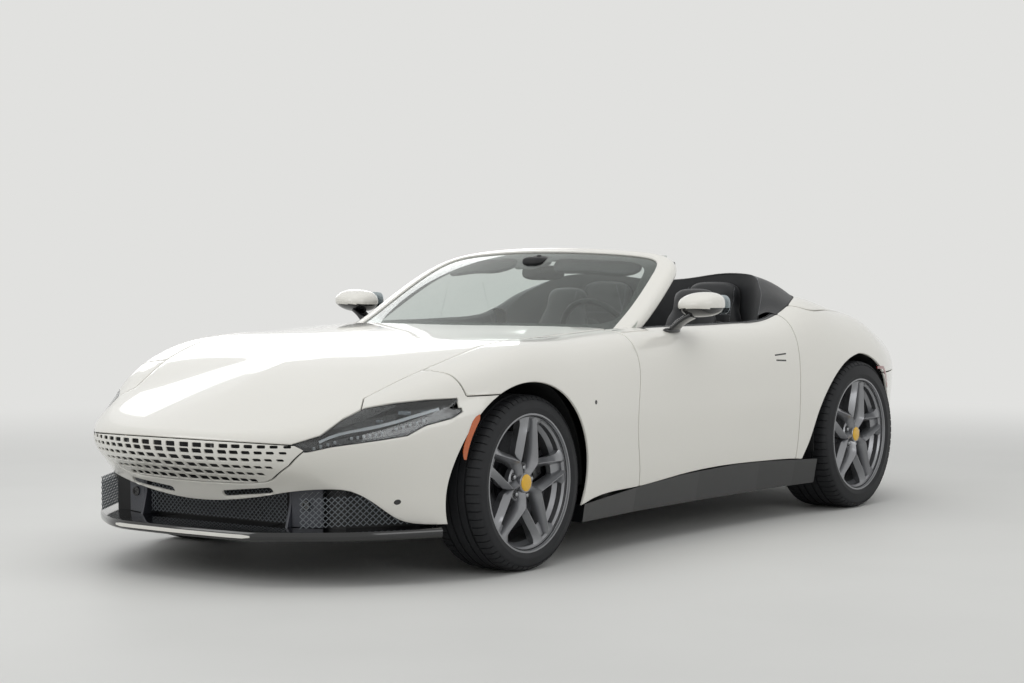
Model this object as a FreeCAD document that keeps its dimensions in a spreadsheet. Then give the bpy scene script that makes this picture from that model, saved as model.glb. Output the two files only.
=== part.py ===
import FreeCAD, Part
import math
import os

import Sketcher
from FreeCAD import Placement, Rotation, Vector

# White front-engined 2+2 grand tourer, roof stowed. Millimetres, +X forward, +Y the car's left,
# +Z up, origin on the ground at mid-length.

doc = FreeCAD.newDocument("roadster")
sheet = doc.addObject("Spreadsheet::Sheet", "sizes")

# Driving dimensions: alias, value, what it is.
SIZES = [
    ("front_axle_x", 1305, "front axle ahead of the origin"),
    ("rear_axle_x", -1365, "rear axle behind the origin"),
    ("front_tyre_y", 826, "middle of the front tyre from the centre plane"),
    ("rear_tyre_y", 839.5, "middle of the rear tyre from the centre plane"),
    ("front_tyre_radius", 340, "outer radius of the front tyre"),
    ("rear_tyre_radius", 354, "outer radius of the rear tyre"),
    ("front_tyre_width", 245, "section width of the front tyre"),
    ("rear_tyre_width", 285, "section width of the rear tyre"),
    ("rim_radius", 268, "outer radius of the rim flange"),
    ("rim_seat_radius", 254, "radius of the tyre's bead seat"),
    ("rim_wall", 12, "thickness of the rim barrel"),
    ("face_inset", 14, "spoke face behind the tyre's outer side"),
    ("spoke_depth", 34, "thickness of a spoke at the face"),
    ("spoke_width", 30, "width of one arm of a spoke pair at the rim"),
    ("hub_radius", 74, "radius of the wheel's hub"),
    ("hub_depth", 62, "depth of the wheel's hub behind the face"),
    ("cap_radius", 34, "radius of the plain hub cap"),
    ("spindle_radius", 30, "radius of the spindle that carries a wheel"),
    ("running_gap", 0.3, "radial clearance of a shaft in its bore"),
    ("disc_radius", 195, "radius of a brake disc"),
    ("disc_thickness", 32, "thickness of a brake disc"),
    ("kingpin_y", 760, "steering axis from the centre plane"),
    ("kingpin_radius", 14, "radius of a steering ball pin"),
    ("arch_radius", 388, "radius of a wheel arch lip"),
    ("arch_lead", 15, "front arch centre ahead of the axle"),
    ("liner_gap", 12, "arch liner outside the lip radius"),
    ("liner_wall", 4, "thickness of an arch liner"),
    ("skin", 14, "thickness of a body panel"),
    ("shut_gap", 7, "gap round a door or a lid"),
    ("panel_bottom", 228, "lower edge of the painted nose"),
    ("ground_gap", 150, "underside of the body above the ground"),
    ("door_front_x", 514, "door's front shut line"),
    ("door_rear_x", -800, "door's rear shut line at the skin"),
    ("door_rear_slant", 26, "door's rear shut face, further forward at the inside"),
    ("door_inner_y", 748, "inner face of a door"),
    ("door_hinge_x", 633, "door hinge axis"),
    ("door_hinge_y", 915, "door hinge axis from the centre plane"),
    ("hinge_pin_radius", 6, "radius of a hinge pin"),
    ("hinge_lug_radius", 11, "outer radius of a hinge lug"),
    ("cabin_half_width", 742, "inside of the cabin from the centre plane"),
    ("cabin_rear_x", -1150, "rear of the cabin opening"),
    ("floor_half_width", 740, "side edge of the floor pan from the centre plane"),
    ("floor_top", 172, "top of the floor pan"),
    ("floor_thickness", 26, "thickness of the floor pan"),
    ("engine_length", 620, "length of the engine"),
    ("engine_width", 560, "width of the engine"),
    ("engine_height", 500, "height of the engine"),
    ("engine_gap", 52, "clearance between the firewall and the engine"),
    ("firewall_x", 480, "cabin face of the firewall"),
    ("bulkhead_wall", 18, "thickness of the firewall and of the rear bulkhead"),
    ("steering_wheel_radius", 176, "middle of the steering wheel's rim"),
    ("steering_rim_radius", 14, "half thickness of the steering wheel's rim"),
    ("steering_tilt", 25, "tilt of the steering wheel in degrees"),
    ("seat_y", 370, "middle of a front seat from the centre plane"),
    ("rear_seat_y", 315, "middle of a rear seat from the centre plane"),
]
for row, (alias, value, note) in enumerate(SIZES, 1):
    sheet.set(f"A{row}", note)
    sheet.set(f"B{row}", str(value))
    sheet.setAlias(f"B{row}", alias)
doc.recompute()


def size(expression):
    """Value of an expression over the sheet's sizes."""
    return float(sheet.evalExpression(expression))


def value(alias):
    return size("sizes." + alias)


PARTS = []


def keep(obj, label):
    obj.Label = label
    PARTS.append(obj)
    return obj


def feature(label, shape):
    """A sub-part whose shape is worked out below from the sheet's sizes."""
    obj = doc.addObject("Part::Feature", label)
    obj.Shape = shape
    return keep(obj, label)


def mirrored(shape):
    return shape.mirror(Vector(0, 0, 0), Vector(0, 1, 0))


def both_sides(shape):
    return Part.makeCompound([shape, mirrored(shape)])


def polygon(points):
    return Part.Face(Part.makePolygon(points + [points[0]]))


def side_prism(points, y_low, y_high):
    """Prism whose outline is given in (x, z), seen from the side."""
    face = polygon([Vector(x, y_low, z) for x, z in points])
    return face.extrude(Vector(0, y_high - y_low, 0))


def plan_prism(points, z_low, z_high):
    """Prism whose outline is given in (x, y), seen from above."""
    face = polygon([Vector(x, y, z_low) for x, y in points])
    return face.extrude(Vector(0, 0, z_high - z_low))


def front_prism(points, x_low, x_high):
    """Prism whose outline is given in (y, z), seen from the front."""
    face = polygon([Vector(x_low, y, z) for y, z in points])
    return face.extrude(Vector(x_high - x_low, 0, 0))


def block(x_low, x_high, y_low, y_high, z_low, z_high):
    return Part.makeBox(x_high - x_low, y_high - y_low, z_high - z_low, Vector(x_low, y_low, z_low))


def cross_rod(radius, x, z, y_low, y_high):
    """Round bar along Y."""
    return Part.makeCylinder(radius, y_high - y_low, Vector(x, y_low, z), Vector(0, 1, 0))


def post(radius, x, y, z_low, z_high):
    """Round bar along Z."""
    return Part.makeCylinder(radius, z_high - z_low, Vector(x, y, z_low))


# The body's outer surface: fan-shaped half sections from the centre plane outwards. A section
# starts on the centre plane at x = root and reaches its widest point at (tip_x, tip_y).
# top: height on the centre plane, slope: of the top there. The crest lies crest_in inside the
# tip at crest_z, the widest point at belt_z, the sill's upper and lower ends sill_in and foot_in
# inside it, the upper one at sill_z.
#   root, tip_x, tip_y, top, slope, crest_in, crest_z, belt_z, sill_in, sill_z, foot_in
SECTIONS = [
    (1650, 2328, 0, 798, -0.24, 24, 567, 525, 165, 345, 250),
    (1645, 2309, 218, 799, -0.23, 26, 567, 522, 160, 345, 245),
    (1620, 2193, 518, 804, -0.16, 55, 590, 518, 120, 338, 200),
    (1585, 2060, 650, 811, -0.12, 80, 632, 520, 80, 330, 140),
    (1545, 1930, 745, 818, -0.085, 90, 678, 525, 52, 325, 100),
    (1500, 1760, 855, 827, -0.05, 95, 738, 535, 32, 320, 66),
    (1440, 1560, 935, 838, -0.02, 97, 795, 550, 22, 320, 48),
    (1305, 1305, 975, 858, 0, 100, 850, 560, 10, 320, 35),
    (940, 940, 968, 893, 0, 105, 866, 570, 15, 330, 45),
    (505, 505, 938, 918, 0, 95, 886, 590, 15, 340, 50),
    (0, 0, 932, 930, 0, 85, 893, 600, 12, 360, 50),
    (-500, -500, 945, 935, 0, 85, 898, 600, 14, 360, 50),
    (-800, -800, 962, 985, 0, 110, 935, 600, 14, 345, 50),
    (-1000, -1000, 975, 1052, 0, 150, 997, 600, 12, 330, 45),
    (-1365, -1365, 985, 1008, 0, 170, 952, 610, 10, 320, 40),
    (-1560, -1660, 962, 970, 0, 170, 908, 620, 15, 320, 50),
    (-1640, -1900, 880, 950, -0.03, 150, 850, 640, 25, 330, 65),
    (-1690, -2090, 775, 940, -0.05, 110, 832, 655, 35, 340, 80),
    (-1730, -2240, 590, 930, -0.06, 80, 848, 670, 45, 350, 90),
    (-1760, -2312, 290, 922, -0.07, 50, 864, 690, 50, 350, 100),
    (-1765, -2328, 0, 920, -0.07, 40, 868, 700, 52, 350, 105),
]


def middle_from_slope(start, end, slope):
    """Middle of the arc that leaves start with the given slope."""
    chord = math.atan2(end[1] - start[1], end[0] - start[0])
    rise = math.hypot(end[0] - start[0], end[1] - start[1]) / 2
    rise *= math.tan((chord - math.atan(slope)) / 2)
    return (
        (start[0] + end[0]) / 2 + rise * math.sin(chord),
        (start[1] + end[1]) / 2 - rise * math.cos(chord),
    )


def middle_to_upright(start, end):
    """Middle of the arc that ends upright at end."""
    chord = math.atan2(start[1] - end[1], start[0] - end[0])
    upright = math.copysign(math.pi / 2, start[1] - end[1])
    rise = math.hypot(end[0] - start[0], end[1] - start[1]) / 2
    rise *= math.tan((chord - upright) / 2)
    return (
        (start[0] + end[0]) / 2 + rise * math.sin(chord),
        (start[1] + end[1]) / 2 - rise * math.cos(chord),
    )


def section_wire(row, inset):
    root, tip_x, tip_y, top, slope, crest_in, crest_z, belt_z, sill_in, sill_z, foot_in = row
    reach = math.hypot(tip_x - root, tip_y)
    along_x = (tip_x - root) / reach
    along_y = tip_y / reach
    floor = value("ground_gap") + inset

    def place(point):
        return Vector(root + along_x * point[0], along_y * point[0], point[1])

    middle = (0, top - inset)
    crest = (reach - crest_in - inset / 2, crest_z - inset)
    belt = (reach - inset, belt_z)
    sill = (reach - sill_in - inset, sill_z)
    foot = (reach - foot_in - inset, floor)
    keel = (0, floor)
    crown = Part.Arc(place(middle), place(middle_from_slope(middle, crest, slope)), place(crest))
    shoulder = Part.Arc(place(crest), place(middle_to_upright(crest, belt)), place(belt))
    flank = Part.Arc(place(belt), place(middle_to_upright(sill, belt)), place(sill))
    lines = [(sill, foot), (foot, keel), (keel, middle)]
    edges = [crown.toShape(), shoulder.toShape(), flank.toShape()]
    edges += [Part.LineSegment(place(a), place(b)).toShape() for a, b in lines]
    return Part.Wire(edges)


def half_hull(inset):
    """Left half of the body's envelope, inset by a wall."""
    return Part.makeLoft([section_wire(row, inset) for row in SECTIONS], True, True)


outer_half = half_hull(0)
shell_half = outer_half.cut(half_hull(value("skin")))
FAR = 3000
gap = value("shut_gap")
front_x = value("front_axle_x")
rear_x = value("rear_axle_x")
front_z = value("front_tyre_radius")
rear_z = value("rear_tyre_radius")
door_front = value("door_front_x")
door_rear = value("door_rear_x")

# Lines of the panels, in side view (x, z).
PAINT_EDGE = [(935, 222), (500, 253), (150, 276), (-280, 287), (-570, 281), (-990, 262)]
BUMPER_LINE_Z = 690
FRONT_ARCH = (front_x + value("arch_lead"), front_z)
REAR_ARCH = (rear_x, rear_z)
REAR_ARCH_FRONT = [(-795, 230), (-795, 275), (-886, 404), (-973, 539), (-1131, 664), (-1366, 700)]

# Bonnet outline in plan (x, y), left half, from the rear edge to the nose.
BONNET_REAR = [(575, 0), (562, 250), (530, 500), (470, 735)]
BONNET_SIDE = [(800, 730), (1410, 722), (1570, 700), (1710, 660), (1890, 602), (2190, 520)]
BONNET_NOSE = [(2340, 225), (2350, 0)]
BONNET_LOW_Z = 533


sill_edge = [(1200, 228), (935, 222)] + PAINT_EDGE[1:] + [(-1200, 250), (-1200, 0), (1200, 0)]
sill_prism = side_prism(sill_edge, -1, FAR)


COWL_REAR_X = 300
PILLAR_REAR_X = 292
PILLAR_FOOT_Y = 822
PILLAR_FOOT_Z = 840


def inset_line(points, amount):
    return [(x, y - amount) for x, y in points]


bonnet_hole = [(COWL_REAR_X, 0), (COWL_REAR_X, 742)] + BONNET_SIDE + BONNET_NOSE
bonnet_plan = BONNET_REAR + inset_line(BONNET_SIDE, gap) + [(2340, 225 - gap), (2350, 0)]

# Body split into a front, a middle and a rear stretch, which shortens every cut below.
front_shell = shell_half.common(block(COWL_REAR_X, FAR, -1, FAR, value("panel_bottom"), FAR))
rear_shell = shell_half.common(block(-FAR, door_rear + 60, -1, FAR, value("panel_bottom"), FAR))

front_arch_cut = cross_rod(value("arch_radius"), *FRONT_ARCH, 400, FAR)
rear_arch_cut = cross_rod(value("arch_radius"), *REAR_ARCH, 400, FAR).fuse(
    side_prism(REAR_ARCH_FRONT + [(-1366, 230)], 400, FAR)
)

# Headlamp outline seen from the front quarter, in (across, z): across runs along a level line
# square to that view.
LAMP_VIEW = 36
LAMP_DEPTH = 70
LAMP_INNER_Y = 515
LAMP_OUTLINE = [
    (-869, 529),
    (-768, 560),
    (-692, 616),
    (-617, 653),
    (-507, 670),
    (-388, 680),
    (-259, 683),
    (-308, 649),
    (-241, 644),
    (-292, 612),
    (-390, 589),
    (-457, 553),
    (-550, 540),
    (-725, 520),
    (-823, 499),
]


def finish(shape):
    """Joins faces that a cut has split, and keeps a lone solid as a solid."""
    cleaned = shape.removeSplitter()
    solids = cleaned.Solids
    return solids[0] if len(solids) == 1 else Part.makeCompound(solids)


bonnet_half = front_shell.common(plan_prism(bonnet_plan, BONNET_LOW_Z + gap, FAR))
front_skin = front_shell.cut(plan_prism(bonnet_hole, BONNET_LOW_Z, FAR)).cut(front_arch_cut)

# Side line between bumper and fender: level from the lamp to the arch, then down its middle.
BUMPER_REGION = [
    (FRONT_ARCH[0] + 40, 0),
    (FAR, 0),
    (FAR, 1200),
    (1700, 1200),
    (1640, BUMPER_LINE_Z),
    (FRONT_ARCH[0] + 40, BUMPER_LINE_Z),
]
bumper_prism = side_prism(BUMPER_REGION, -1, FAR)
bumper_half = front_skin.common(bumper_prism)
fender = front_skin.cut(bumper_prism).common(block(door_front, FAR, 0, FAR, 0, FAR)).cut(sill_prism)

# Grille opening in the nose, in front view (y, z), and the air intake below the chin.
GRILLE_OUTLINE = [(-1, BONNET_LOW_Z), (522, BONNET_LOW_Z), (554, 507), (491, 449), (394, 392), (-1, 366)]
CHIN_EDGE = [(-1, 290), (203, 304), (342, 325), (501, 350), (617, 351), (674, 291), (741, 226), (760, 205)]
CHIN_SLOT = [(129, 313), (364, 337), (364, 357), (129, 333)]
grille_prism = front_prism(GRILLE_OUTLINE, 1900, FAR)
intake_prism = front_prism(CHIN_EDGE + [(-1, 205)], 1700, FAR)
grille_half = bumper_half.common(grille_prism)
bumper_half = bumper_half.cut(grille_prism).cut(intake_prism).cut(front_prism(CHIN_SLOT, 1900, FAR))

# Slots of the grille, smaller towards its ends: height and number of slots of each row, and the
# columns of the top row. The columns lean inwards by SLOT_LEAN from one row to the next.
SLOT_ROWS = [(520, 10), (497, 10), (469, 10), (440, 9), (412, 8), (385, 7)]
SLOT_COLUMNS = [33, 100, 160, 217, 274, 323, 371, 418, 461, 504]
SLOT_LEAN = 0.032
SLOT_SIZE = (46, 19)
SLOT_END_SIZE = (24, 10)
slots = []
for row, (slot_z, count) in enumerate(SLOT_ROWS):
    for column in SLOT_COLUMNS[:count]:
        share = (column / SLOT_COLUMNS[-1]) ** 1.5
        half_y = (SLOT_SIZE[0] + (SLOT_END_SIZE[0] - SLOT_SIZE[0]) * share) / 2
        half_z = (SLOT_SIZE[1] + (SLOT_END_SIZE[1] - SLOT_SIZE[1]) * share) / 2
        slot_y = column * (1 - SLOT_LEAN * row)
        slots.append(block(1900, FAR, slot_y - half_y, slot_y + half_y, slot_z - half_z, slot_z + half_z))
grille_half = grille_half.cut(slots)


def view_prism(outline, view, low, high):
    """Prism along the level direction that lies view degrees from +X, outline in (across, z)."""
    turn = math.radians(view)
    along = Vector(math.cos(turn), math.sin(turn), 0)
    across = Vector(-math.sin(turn), math.cos(turn), 0)
    points = [along * low + across * shift + Vector(0, 0, z) for shift, z in outline]
    return polygon(points).extrude(along * (high - low))


lamp_prism = view_prism(LAMP_OUTLINE, LAMP_VIEW, 1500, FAR)
lamp_prism = lamp_prism.cut(plan_prism(bonnet_hole, BONNET_LOW_Z, FAR)).common(
    block(1500, FAR, LAMP_INNER_Y, FAR, 0, FAR)
)
grille_half = grille_half.cut(lamp_prism)
turn = math.radians(LAMP_VIEW)
lamp_back = outer_half.translated(Vector(-LAMP_DEPTH * math.cos(turn), -LAMP_DEPTH * math.sin(turn), 0))
lamp_half = outer_half.common(lamp_prism).cut(lamp_back)
bumper_half = bumper_half.cut(lamp_prism)
fender = fender.cut(lamp_prism)


def whole(half):
    """Joins a half that touches the centre plane to its mirror image."""
    return finish(half.fuse(mirrored(half)))


# Hinges. Each door hangs on a swan-neck arm that turns round a pin inside the wing, so that the
# door's front edge clears the wing. The lids have arms of the same kind.
door_x = value("door_hinge_x")
door_y = value("door_hinge_y")
lug_r = value("hinge_lug_radius")
hinge_r = value("hinge_pin_radius")
run = value("running_gap")
DOOR_HINGE_LOW = 520
DOOR_HINGE_HIGH = 620
HINGE_PLATE = 14
ARM_HALF = 9


def strip_prism(points, half, low, high):
    """Flat arm of even width along a line of (x, y) points, between two heights."""
    arm = None
    for start, end in zip(points, points[1:]):
        length = math.hypot(end[0] - start[0], end[1] - start[1])
        piece = block(0, length, -half, half, low, high).fuse(post(half, 0, 0, low, high))
        piece = piece.fuse(post(half, length, 0, low, high))
        turn_angle = math.degrees(math.atan2(end[1] - start[1], end[0] - start[0]))
        piece.Placement = Placement(Vector(start[0], start[1], 0), Rotation(Vector(0, 0, 1), turn_angle))
        arm = piece if arm is None else arm.fuse(piece)
    return arm


door_arm = strip_prism(
    [(door_x, door_y), (door_x - 63, door_y - 136), (door_front - 20, door_y - 136)],
    ARM_HALF,
    DOOR_HINGE_LOW,
    DOOR_HINGE_HIGH,
)
door_arm = door_arm.fuse(post(lug_r, door_x, door_y, DOOR_HINGE_LOW, DOOR_HINGE_HIGH))
door_arm = door_arm.cut(post(hinge_r + run, door_x, door_y, DOOR_HINGE_LOW - 1, DOOR_HINGE_HIGH + 1))
hinge_plates = []
for low in (DOOR_HINGE_LOW - HINGE_PLATE - run, DOOR_HINGE_HIGH + run):
    plate = block(door_x - lug_r, door_x + lug_r, door_y, door_y + 60, low, low + HINGE_PLATE)
    hinge_plates.append(plate.fuse(post(lug_r, door_x, door_y, low, low + HINGE_PLATE)))
hinge_pin = post(hinge_r, door_x, door_y, DOOR_HINGE_LOW - 5, DOOR_HINGE_HIGH + 5)
wing_hinge = hinge_plates[0].fuse([hinge_plates[1], hinge_pin]).common(outer_half)

feature("front_bumper", whole(bumper_half))
feature("grille", whole(grille_half))
feature("front_fenders", both_sides(finish(fender.fuse(wing_hinge))))
feature("headlamps", both_sides(finish(lamp_half)))

# Bonnet arms: straight up from cross pins to the bonnet's underside, close behind its rear corners.
BONNET_PIN_X = 462
BONNET_PIN_Z = 860
BONNET_PIN_Y = 712
BONNET_LUG_WIDTH = 20
LUG_WIDTH = 30


def lid_lug(x, z, y, web, wall):
    """Lug of a lid round its cross pin, with the web that joins it to the lid."""
    lug = cross_rod(lug_r, x, z, y - wall / 2, y + wall / 2).fuse(web)
    return lug.cut(cross_rod(hinge_r + run, x, z, y - wall / 2 - 1, y + wall / 2 + 1))


def pin_stand(x, z, y, seat, wall):
    """Cross pin between two cheeks that reach to what carries the lid, above or below."""
    stand = cross_rod(hinge_r, x, z, y - wall / 2 - 8, y + wall / 2 + 8)
    for inner in (y - wall / 2 - run - 8, y + wall / 2 + run):
        cheek = block(x - lug_r, x + lug_r, inner, inner + 8, min(seat, z), max(seat, z))
        stand = stand.fuse(cheek.fuse(cross_rod(lug_r, x, z, inner, inner + 8)))
    return stand


bonnet_web = side_prism(
    [
        (BONNET_PIN_X, BONNET_PIN_Z - 8),
        (BONNET_PIN_X + 60, BONNET_PIN_Z - 8),
        (BONNET_PIN_X + 60, 960),
        (BONNET_PIN_X + 18, 960),
        (BONNET_PIN_X + 18, BONNET_PIN_Z + 8),
        (BONNET_PIN_X, BONNET_PIN_Z + 8),
    ],
    BONNET_PIN_Y - BONNET_LUG_WIDTH / 2,
    BONNET_PIN_Y + BONNET_LUG_WIDTH / 2,
)
bonnet_lug = lid_lug(
    BONNET_PIN_X, BONNET_PIN_Z, BONNET_PIN_Y, bonnet_web.common(outer_half), BONNET_LUG_WIDTH
)
feature("bonnet", whole(bonnet_half.fuse(bonnet_lug)))

# Rear panels. Deck, boot lid and bumper lines in plan and side view.
DECK_LINE = [(-1100, 700), (-1300, 690), (-1560, 660), (-1740, 615)]
DECK_REAR_X = -1740
BOOT_LINE = [(-1746, 600), (-1960, 560), (-2150, 480), (-2235, 330)]
BOOT_LOW_Z = 800
BUMPER_TOP_Z = 640
cabin_cut = block(value("cabin_rear_x"), FAR, -1, value("cabin_half_width"), 0, FAR)
rear_skin = rear_shell.cut(rear_arch_cut).cut(cabin_cut)
deck_plan = [(-1100, -1)] + DECK_LINE + [(DECK_REAR_X, -1)]
boot_hole = [(DECK_REAR_X, -1)] + BOOT_LINE + [(-2400, 330), (-2400, -1)]
boot_plan = [(DECK_REAR_X - gap, -1)] + inset_line(BOOT_LINE, gap) + [(-2400, 330 - gap), (-2400, -1)]
deck_prism = plan_prism(deck_plan, BOOT_LOW_Z, FAR)
deck_half = rear_skin.common(deck_prism)
boot_half = rear_skin.common(plan_prism(boot_plan, BOOT_LOW_Z + gap, FAR))
rear_skin = rear_skin.cut(deck_prism).cut(plan_prism(boot_hole, BOOT_LOW_Z, FAR))
TAIL_REGION = [(-FAR, 0), (-FAR, 1200), (-2000, 1200), (-1960, BUMPER_TOP_Z)]
TAIL_REGION += [(-1620, BUMPER_TOP_Z), (-1620, 0)]
tail_prism = side_prism(TAIL_REGION, -1, FAR)
rear_bumper_half = rear_skin.common(tail_prism)
quarter = rear_skin.cut(tail_prism)

# The door's rear shut face slants, so that its inner edge clears the body as it swings.
slant = value("door_rear_slant")
door_inner = value("door_inner_y")


def behind_door(clear):
    """Plan outline of what lies behind the door's rear shut face."""
    return [
        (-FAR, 0),
        (door_rear + slant * 1.9 - clear, 0),
        (door_rear + slant - clear, door_inner),
        (door_rear - clear, 960),
        (door_rear - clear, FAR),
        (-FAR, FAR),
    ]


quarter = quarter.common(plan_prism(behind_door(gap), 0, FAR))
quarter = quarter.cut(sill_prism)
door_edge = [(x, z + gap) for x, z in PAINT_EDGE]
door_side = [(door_front - gap, FAR), (door_front - gap, 253 + gap)] + door_edge[2:-1]
door_side += [(-900, 272), (-900, FAR)]
door_block = outer_half.common(side_prism(door_side, door_inner, FAR))
door_half = door_block.cut(plan_prism(behind_door(0), 0, FAR))
pillar_foot = block(PILLAR_REAR_X - gap, FAR, 0, PILLAR_FOOT_Y + gap, PILLAR_FOOT_Z - gap, FAR)
pillar_side = block(228, FAR, 0, 782, 878, FAR)
door_half = door_half.cut(pillar_foot).cut(pillar_side)

# Side skirts below the paint.
skirt = outer_half.common(block(-985, 925, value("floor_half_width"), FAR, 0, FAR)).common(sill_prism)

# Slim tail lamps let into the rear panel.
TAIL_LAMP = (250, 830, 742, 776)
lamp_block = block(-FAR, -1880, *TAIL_LAMP)
tail_lamp = rear_bumper_half.common(lamp_block)
rear_bumper_half = rear_bumper_half.cut(lamp_block)
feature("tail_lamps", both_sides(finish(tail_lamp)))

# Tailpipes through the lower rear panel.
PIPE_RADIUS = 42
PIPE_WALL = 4
PIPE_Z = 270
PIPE_X = (-2230, -2070)
PIPE_YS = (455, 560)
pipes = []


def pipe_rod(radius, start, length, y):
    """Round bar along X from start, at the height of the tailpipes."""
    return Part.makeCylinder(radius, length, Vector(start, y, PIPE_Z), Vector(1, 0, 0))


for pipe_y in PIPE_YS:
    rear_bumper_half = rear_bumper_half.cut(pipe_rod(PIPE_RADIUS + value("running_gap"), -2400, 400, pipe_y))
    pipe_length = PIPE_X[1] - PIPE_X[0]
    pipe = pipe_rod(PIPE_RADIUS, PIPE_X[0], pipe_length, pipe_y)
    pipes.append(pipe.cut(pipe_rod(PIPE_RADIUS - PIPE_WALL, PIPE_X[0] - 1, pipe_length - 10, pipe_y)))
feature("exhaust_tips", Part.makeCompound(pipes + [mirrored(pipe) for pipe in pipes]))

feature("rear_quarters", both_sides(finish(quarter)))
feature("rear_bumper", whole(rear_bumper_half))

# Swan-neck arms of the boot lid, on pins below the deck.
BOOT_PIN_X = -1600
BOOT_PIN_Z = 915
BOOT_PIN_Y = 450
ARM_DROP = 150
ARM_RUN = 190
arm_low = BOOT_PIN_Z - ARM_DROP
boot_arm = side_prism(
    [
        (BOOT_PIN_X - 8, BOOT_PIN_Z),
        (BOOT_PIN_X + 8, BOOT_PIN_Z),
        (BOOT_PIN_X + 8, arm_low - 8),
        (BOOT_PIN_X - ARM_RUN - 8, arm_low - 8),
        (BOOT_PIN_X - ARM_RUN - 8, BOOT_PIN_Z),
        (BOOT_PIN_X - ARM_RUN + 8, BOOT_PIN_Z),
        (BOOT_PIN_X - ARM_RUN + 8, arm_low + 8),
        (BOOT_PIN_X - 8, arm_low + 8),
    ],
    BOOT_PIN_Y - LUG_WIDTH / 2,
    BOOT_PIN_Y + LUG_WIDTH / 2,
)
boot_lug = lid_lug(BOOT_PIN_X, BOOT_PIN_Z, BOOT_PIN_Y, boot_arm.common(outer_half), LUG_WIDTH)
boot_stand = pin_stand(BOOT_PIN_X, BOOT_PIN_Z, BOOT_PIN_Y, BOOT_PIN_Z + 60, LUG_WIDTH).common(outer_half)
feature("rear_deck", whole(deck_half.fuse(boot_stand)))
feature("boot_lid", whole(boot_half.fuse(boot_lug)))

feature("side_skirts", both_sides(finish(skirt)))
door_half = door_half.fuse(door_arm)
feature("door_left", finish(door_half))
feature("door_right", finish(mirrored(door_half)))

# Scuttle below the windscreen, sunk under the rear edge of the bonnet.
COWL_TOP = 848
COWL_WALL = 16
cowl_plan = [(COWL_REAR_X, value("cabin_half_width")), (480, value("cabin_half_width")), (600, 480), (640, 0)]
cowl_plan += [(x, -y) for x, y in reversed(cowl_plan[:-1])]
cowl = plan_prism(cowl_plan, COWL_TOP - COWL_WALL, COWL_TOP)
stand = pin_stand(BONNET_PIN_X, BONNET_PIN_Z, BONNET_PIN_Y, COWL_TOP - COWL_WALL, BONNET_LUG_WIDTH)
cowl = cowl.fuse([stand, mirrored(stand)])
feature("cowl", finish(cowl))

# Windscreen: a bent pane between the base arc and the header arc, in a frame of its own.
SCREEN_BASE = (Vector(322, 806, 903), Vector(500, 0, 908))
SCREEN_HEAD = (Vector(-300, 580, 1225), Vector(-200, 0, 1260))
SCREEN_RAKE = math.atan2(SCREEN_HEAD[1].z - SCREEN_BASE[1].z, SCREEN_BASE[1].x - SCREEN_HEAD[1].x)
SCREEN_OUT = Vector(math.sin(SCREEN_RAKE), 0, math.cos(SCREEN_RAKE))
SCREEN_UP = Vector(-math.cos(SCREEN_RAKE), 0, math.sin(SCREEN_RAKE))
SCREEN_ROOT = 120
FRAME_DEPTH = 32
GLASS_INSET = 10
GLASS_WALL = 5


def screen_slab(outer, inner):
    """Windscreen-shaped slab between two depths below the outer surface, lengthened below its base."""
    down = SCREEN_UP * -SCREEN_ROOT
    ends = []
    for corner, middle in ((SCREEN_BASE[0] + down, SCREEN_BASE[1] + down), SCREEN_HEAD):
        ends.append(Part.Arc(corner, middle, Vector(corner.x, -corner.y, corner.z)).toShape())
    surface = Part.makeRuledSurface(*ends).translated(SCREEN_OUT * -outer)
    return surface.extrude(SCREEN_OUT * (outer - inner))


SCREEN_HEIGHT = (SCREEN_HEAD[1] - SCREEN_BASE[1]).Length
GLASS_LOW = 28
GLASS_HIGH = SCREEN_HEIGHT - 75
GLASS_OUTLINE = [(741, -130), (762, GLASS_LOW), (560, GLASS_HIGH), (520, GLASS_HIGH + 35)]


def screen_point(across, up):
    return SCREEN_BASE[1] + Vector(0, across, 0) + SCREEN_UP * up - SCREEN_OUT * 300


glass_half = [screen_point(*point) for point in GLASS_OUTLINE]
glass_far = [Vector(p.x, -p.y, p.z) for p in reversed(glass_half)]
glass_prism = polygon(glass_half + glass_far).extrude(SCREEN_OUT * 600)
outer_whole = outer_half.fuse(mirrored(outer_half))
inner_half = half_hull(value("skin"))
inner_whole = inner_half.fuse(mirrored(inner_half))
frame = screen_slab(0, FRAME_DEPTH).cut(glass_prism).cut(block(-FAR, FAR, -FAR, FAR, 0, COWL_TOP))
foot = outer_half.common(
    block(PILLAR_REAR_X, door_front, value("cabin_half_width"), PILLAR_FOOT_Y, PILLAR_FOOT_Z, FAR)
)
frame = frame.fuse([foot, mirrored(foot)])
pane = glass_prism.common(screen_slab(GLASS_INSET, GLASS_INSET + GLASS_WALL))
feature("windscreen_frame", finish(frame))
pane = pane.cut(block(-FAR, FAR, -FAR, FAR, 0, COWL_TOP + GLASS_INSET)).cut([foot, mirrored(foot)])
feature("windscreen", finish(pane))

# Door mirrors: a foot on the door, an arm and the housing.
MIRROR_HOUSING = [(205, 930), (150, 905), (60, 912), (5, 960), (-12, 1040), (10, 1062)]
MIRROR_HOUSING += [(60, 1060), (150, 1010)]
MIRROR_LOW = 948
MIRROR_HIGH = 1062
housing = plan_prism(MIRROR_HOUSING, MIRROR_LOW, MIRROR_HIGH)
mirror_arm = front_prism([(850, 860), (850, 905), (925, 985), (960, 985), (960, 950), (900, 860)], 110, 160)
mirror_arm = mirror_arm.cut(outer_half).cut(block(0, FAR, 0, 845, 0, FAR))
mirror = finish(housing.fuse(mirror_arm))
feature("mirror_left", mirror)
feature("mirror_right", mirrored(mirror))

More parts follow.
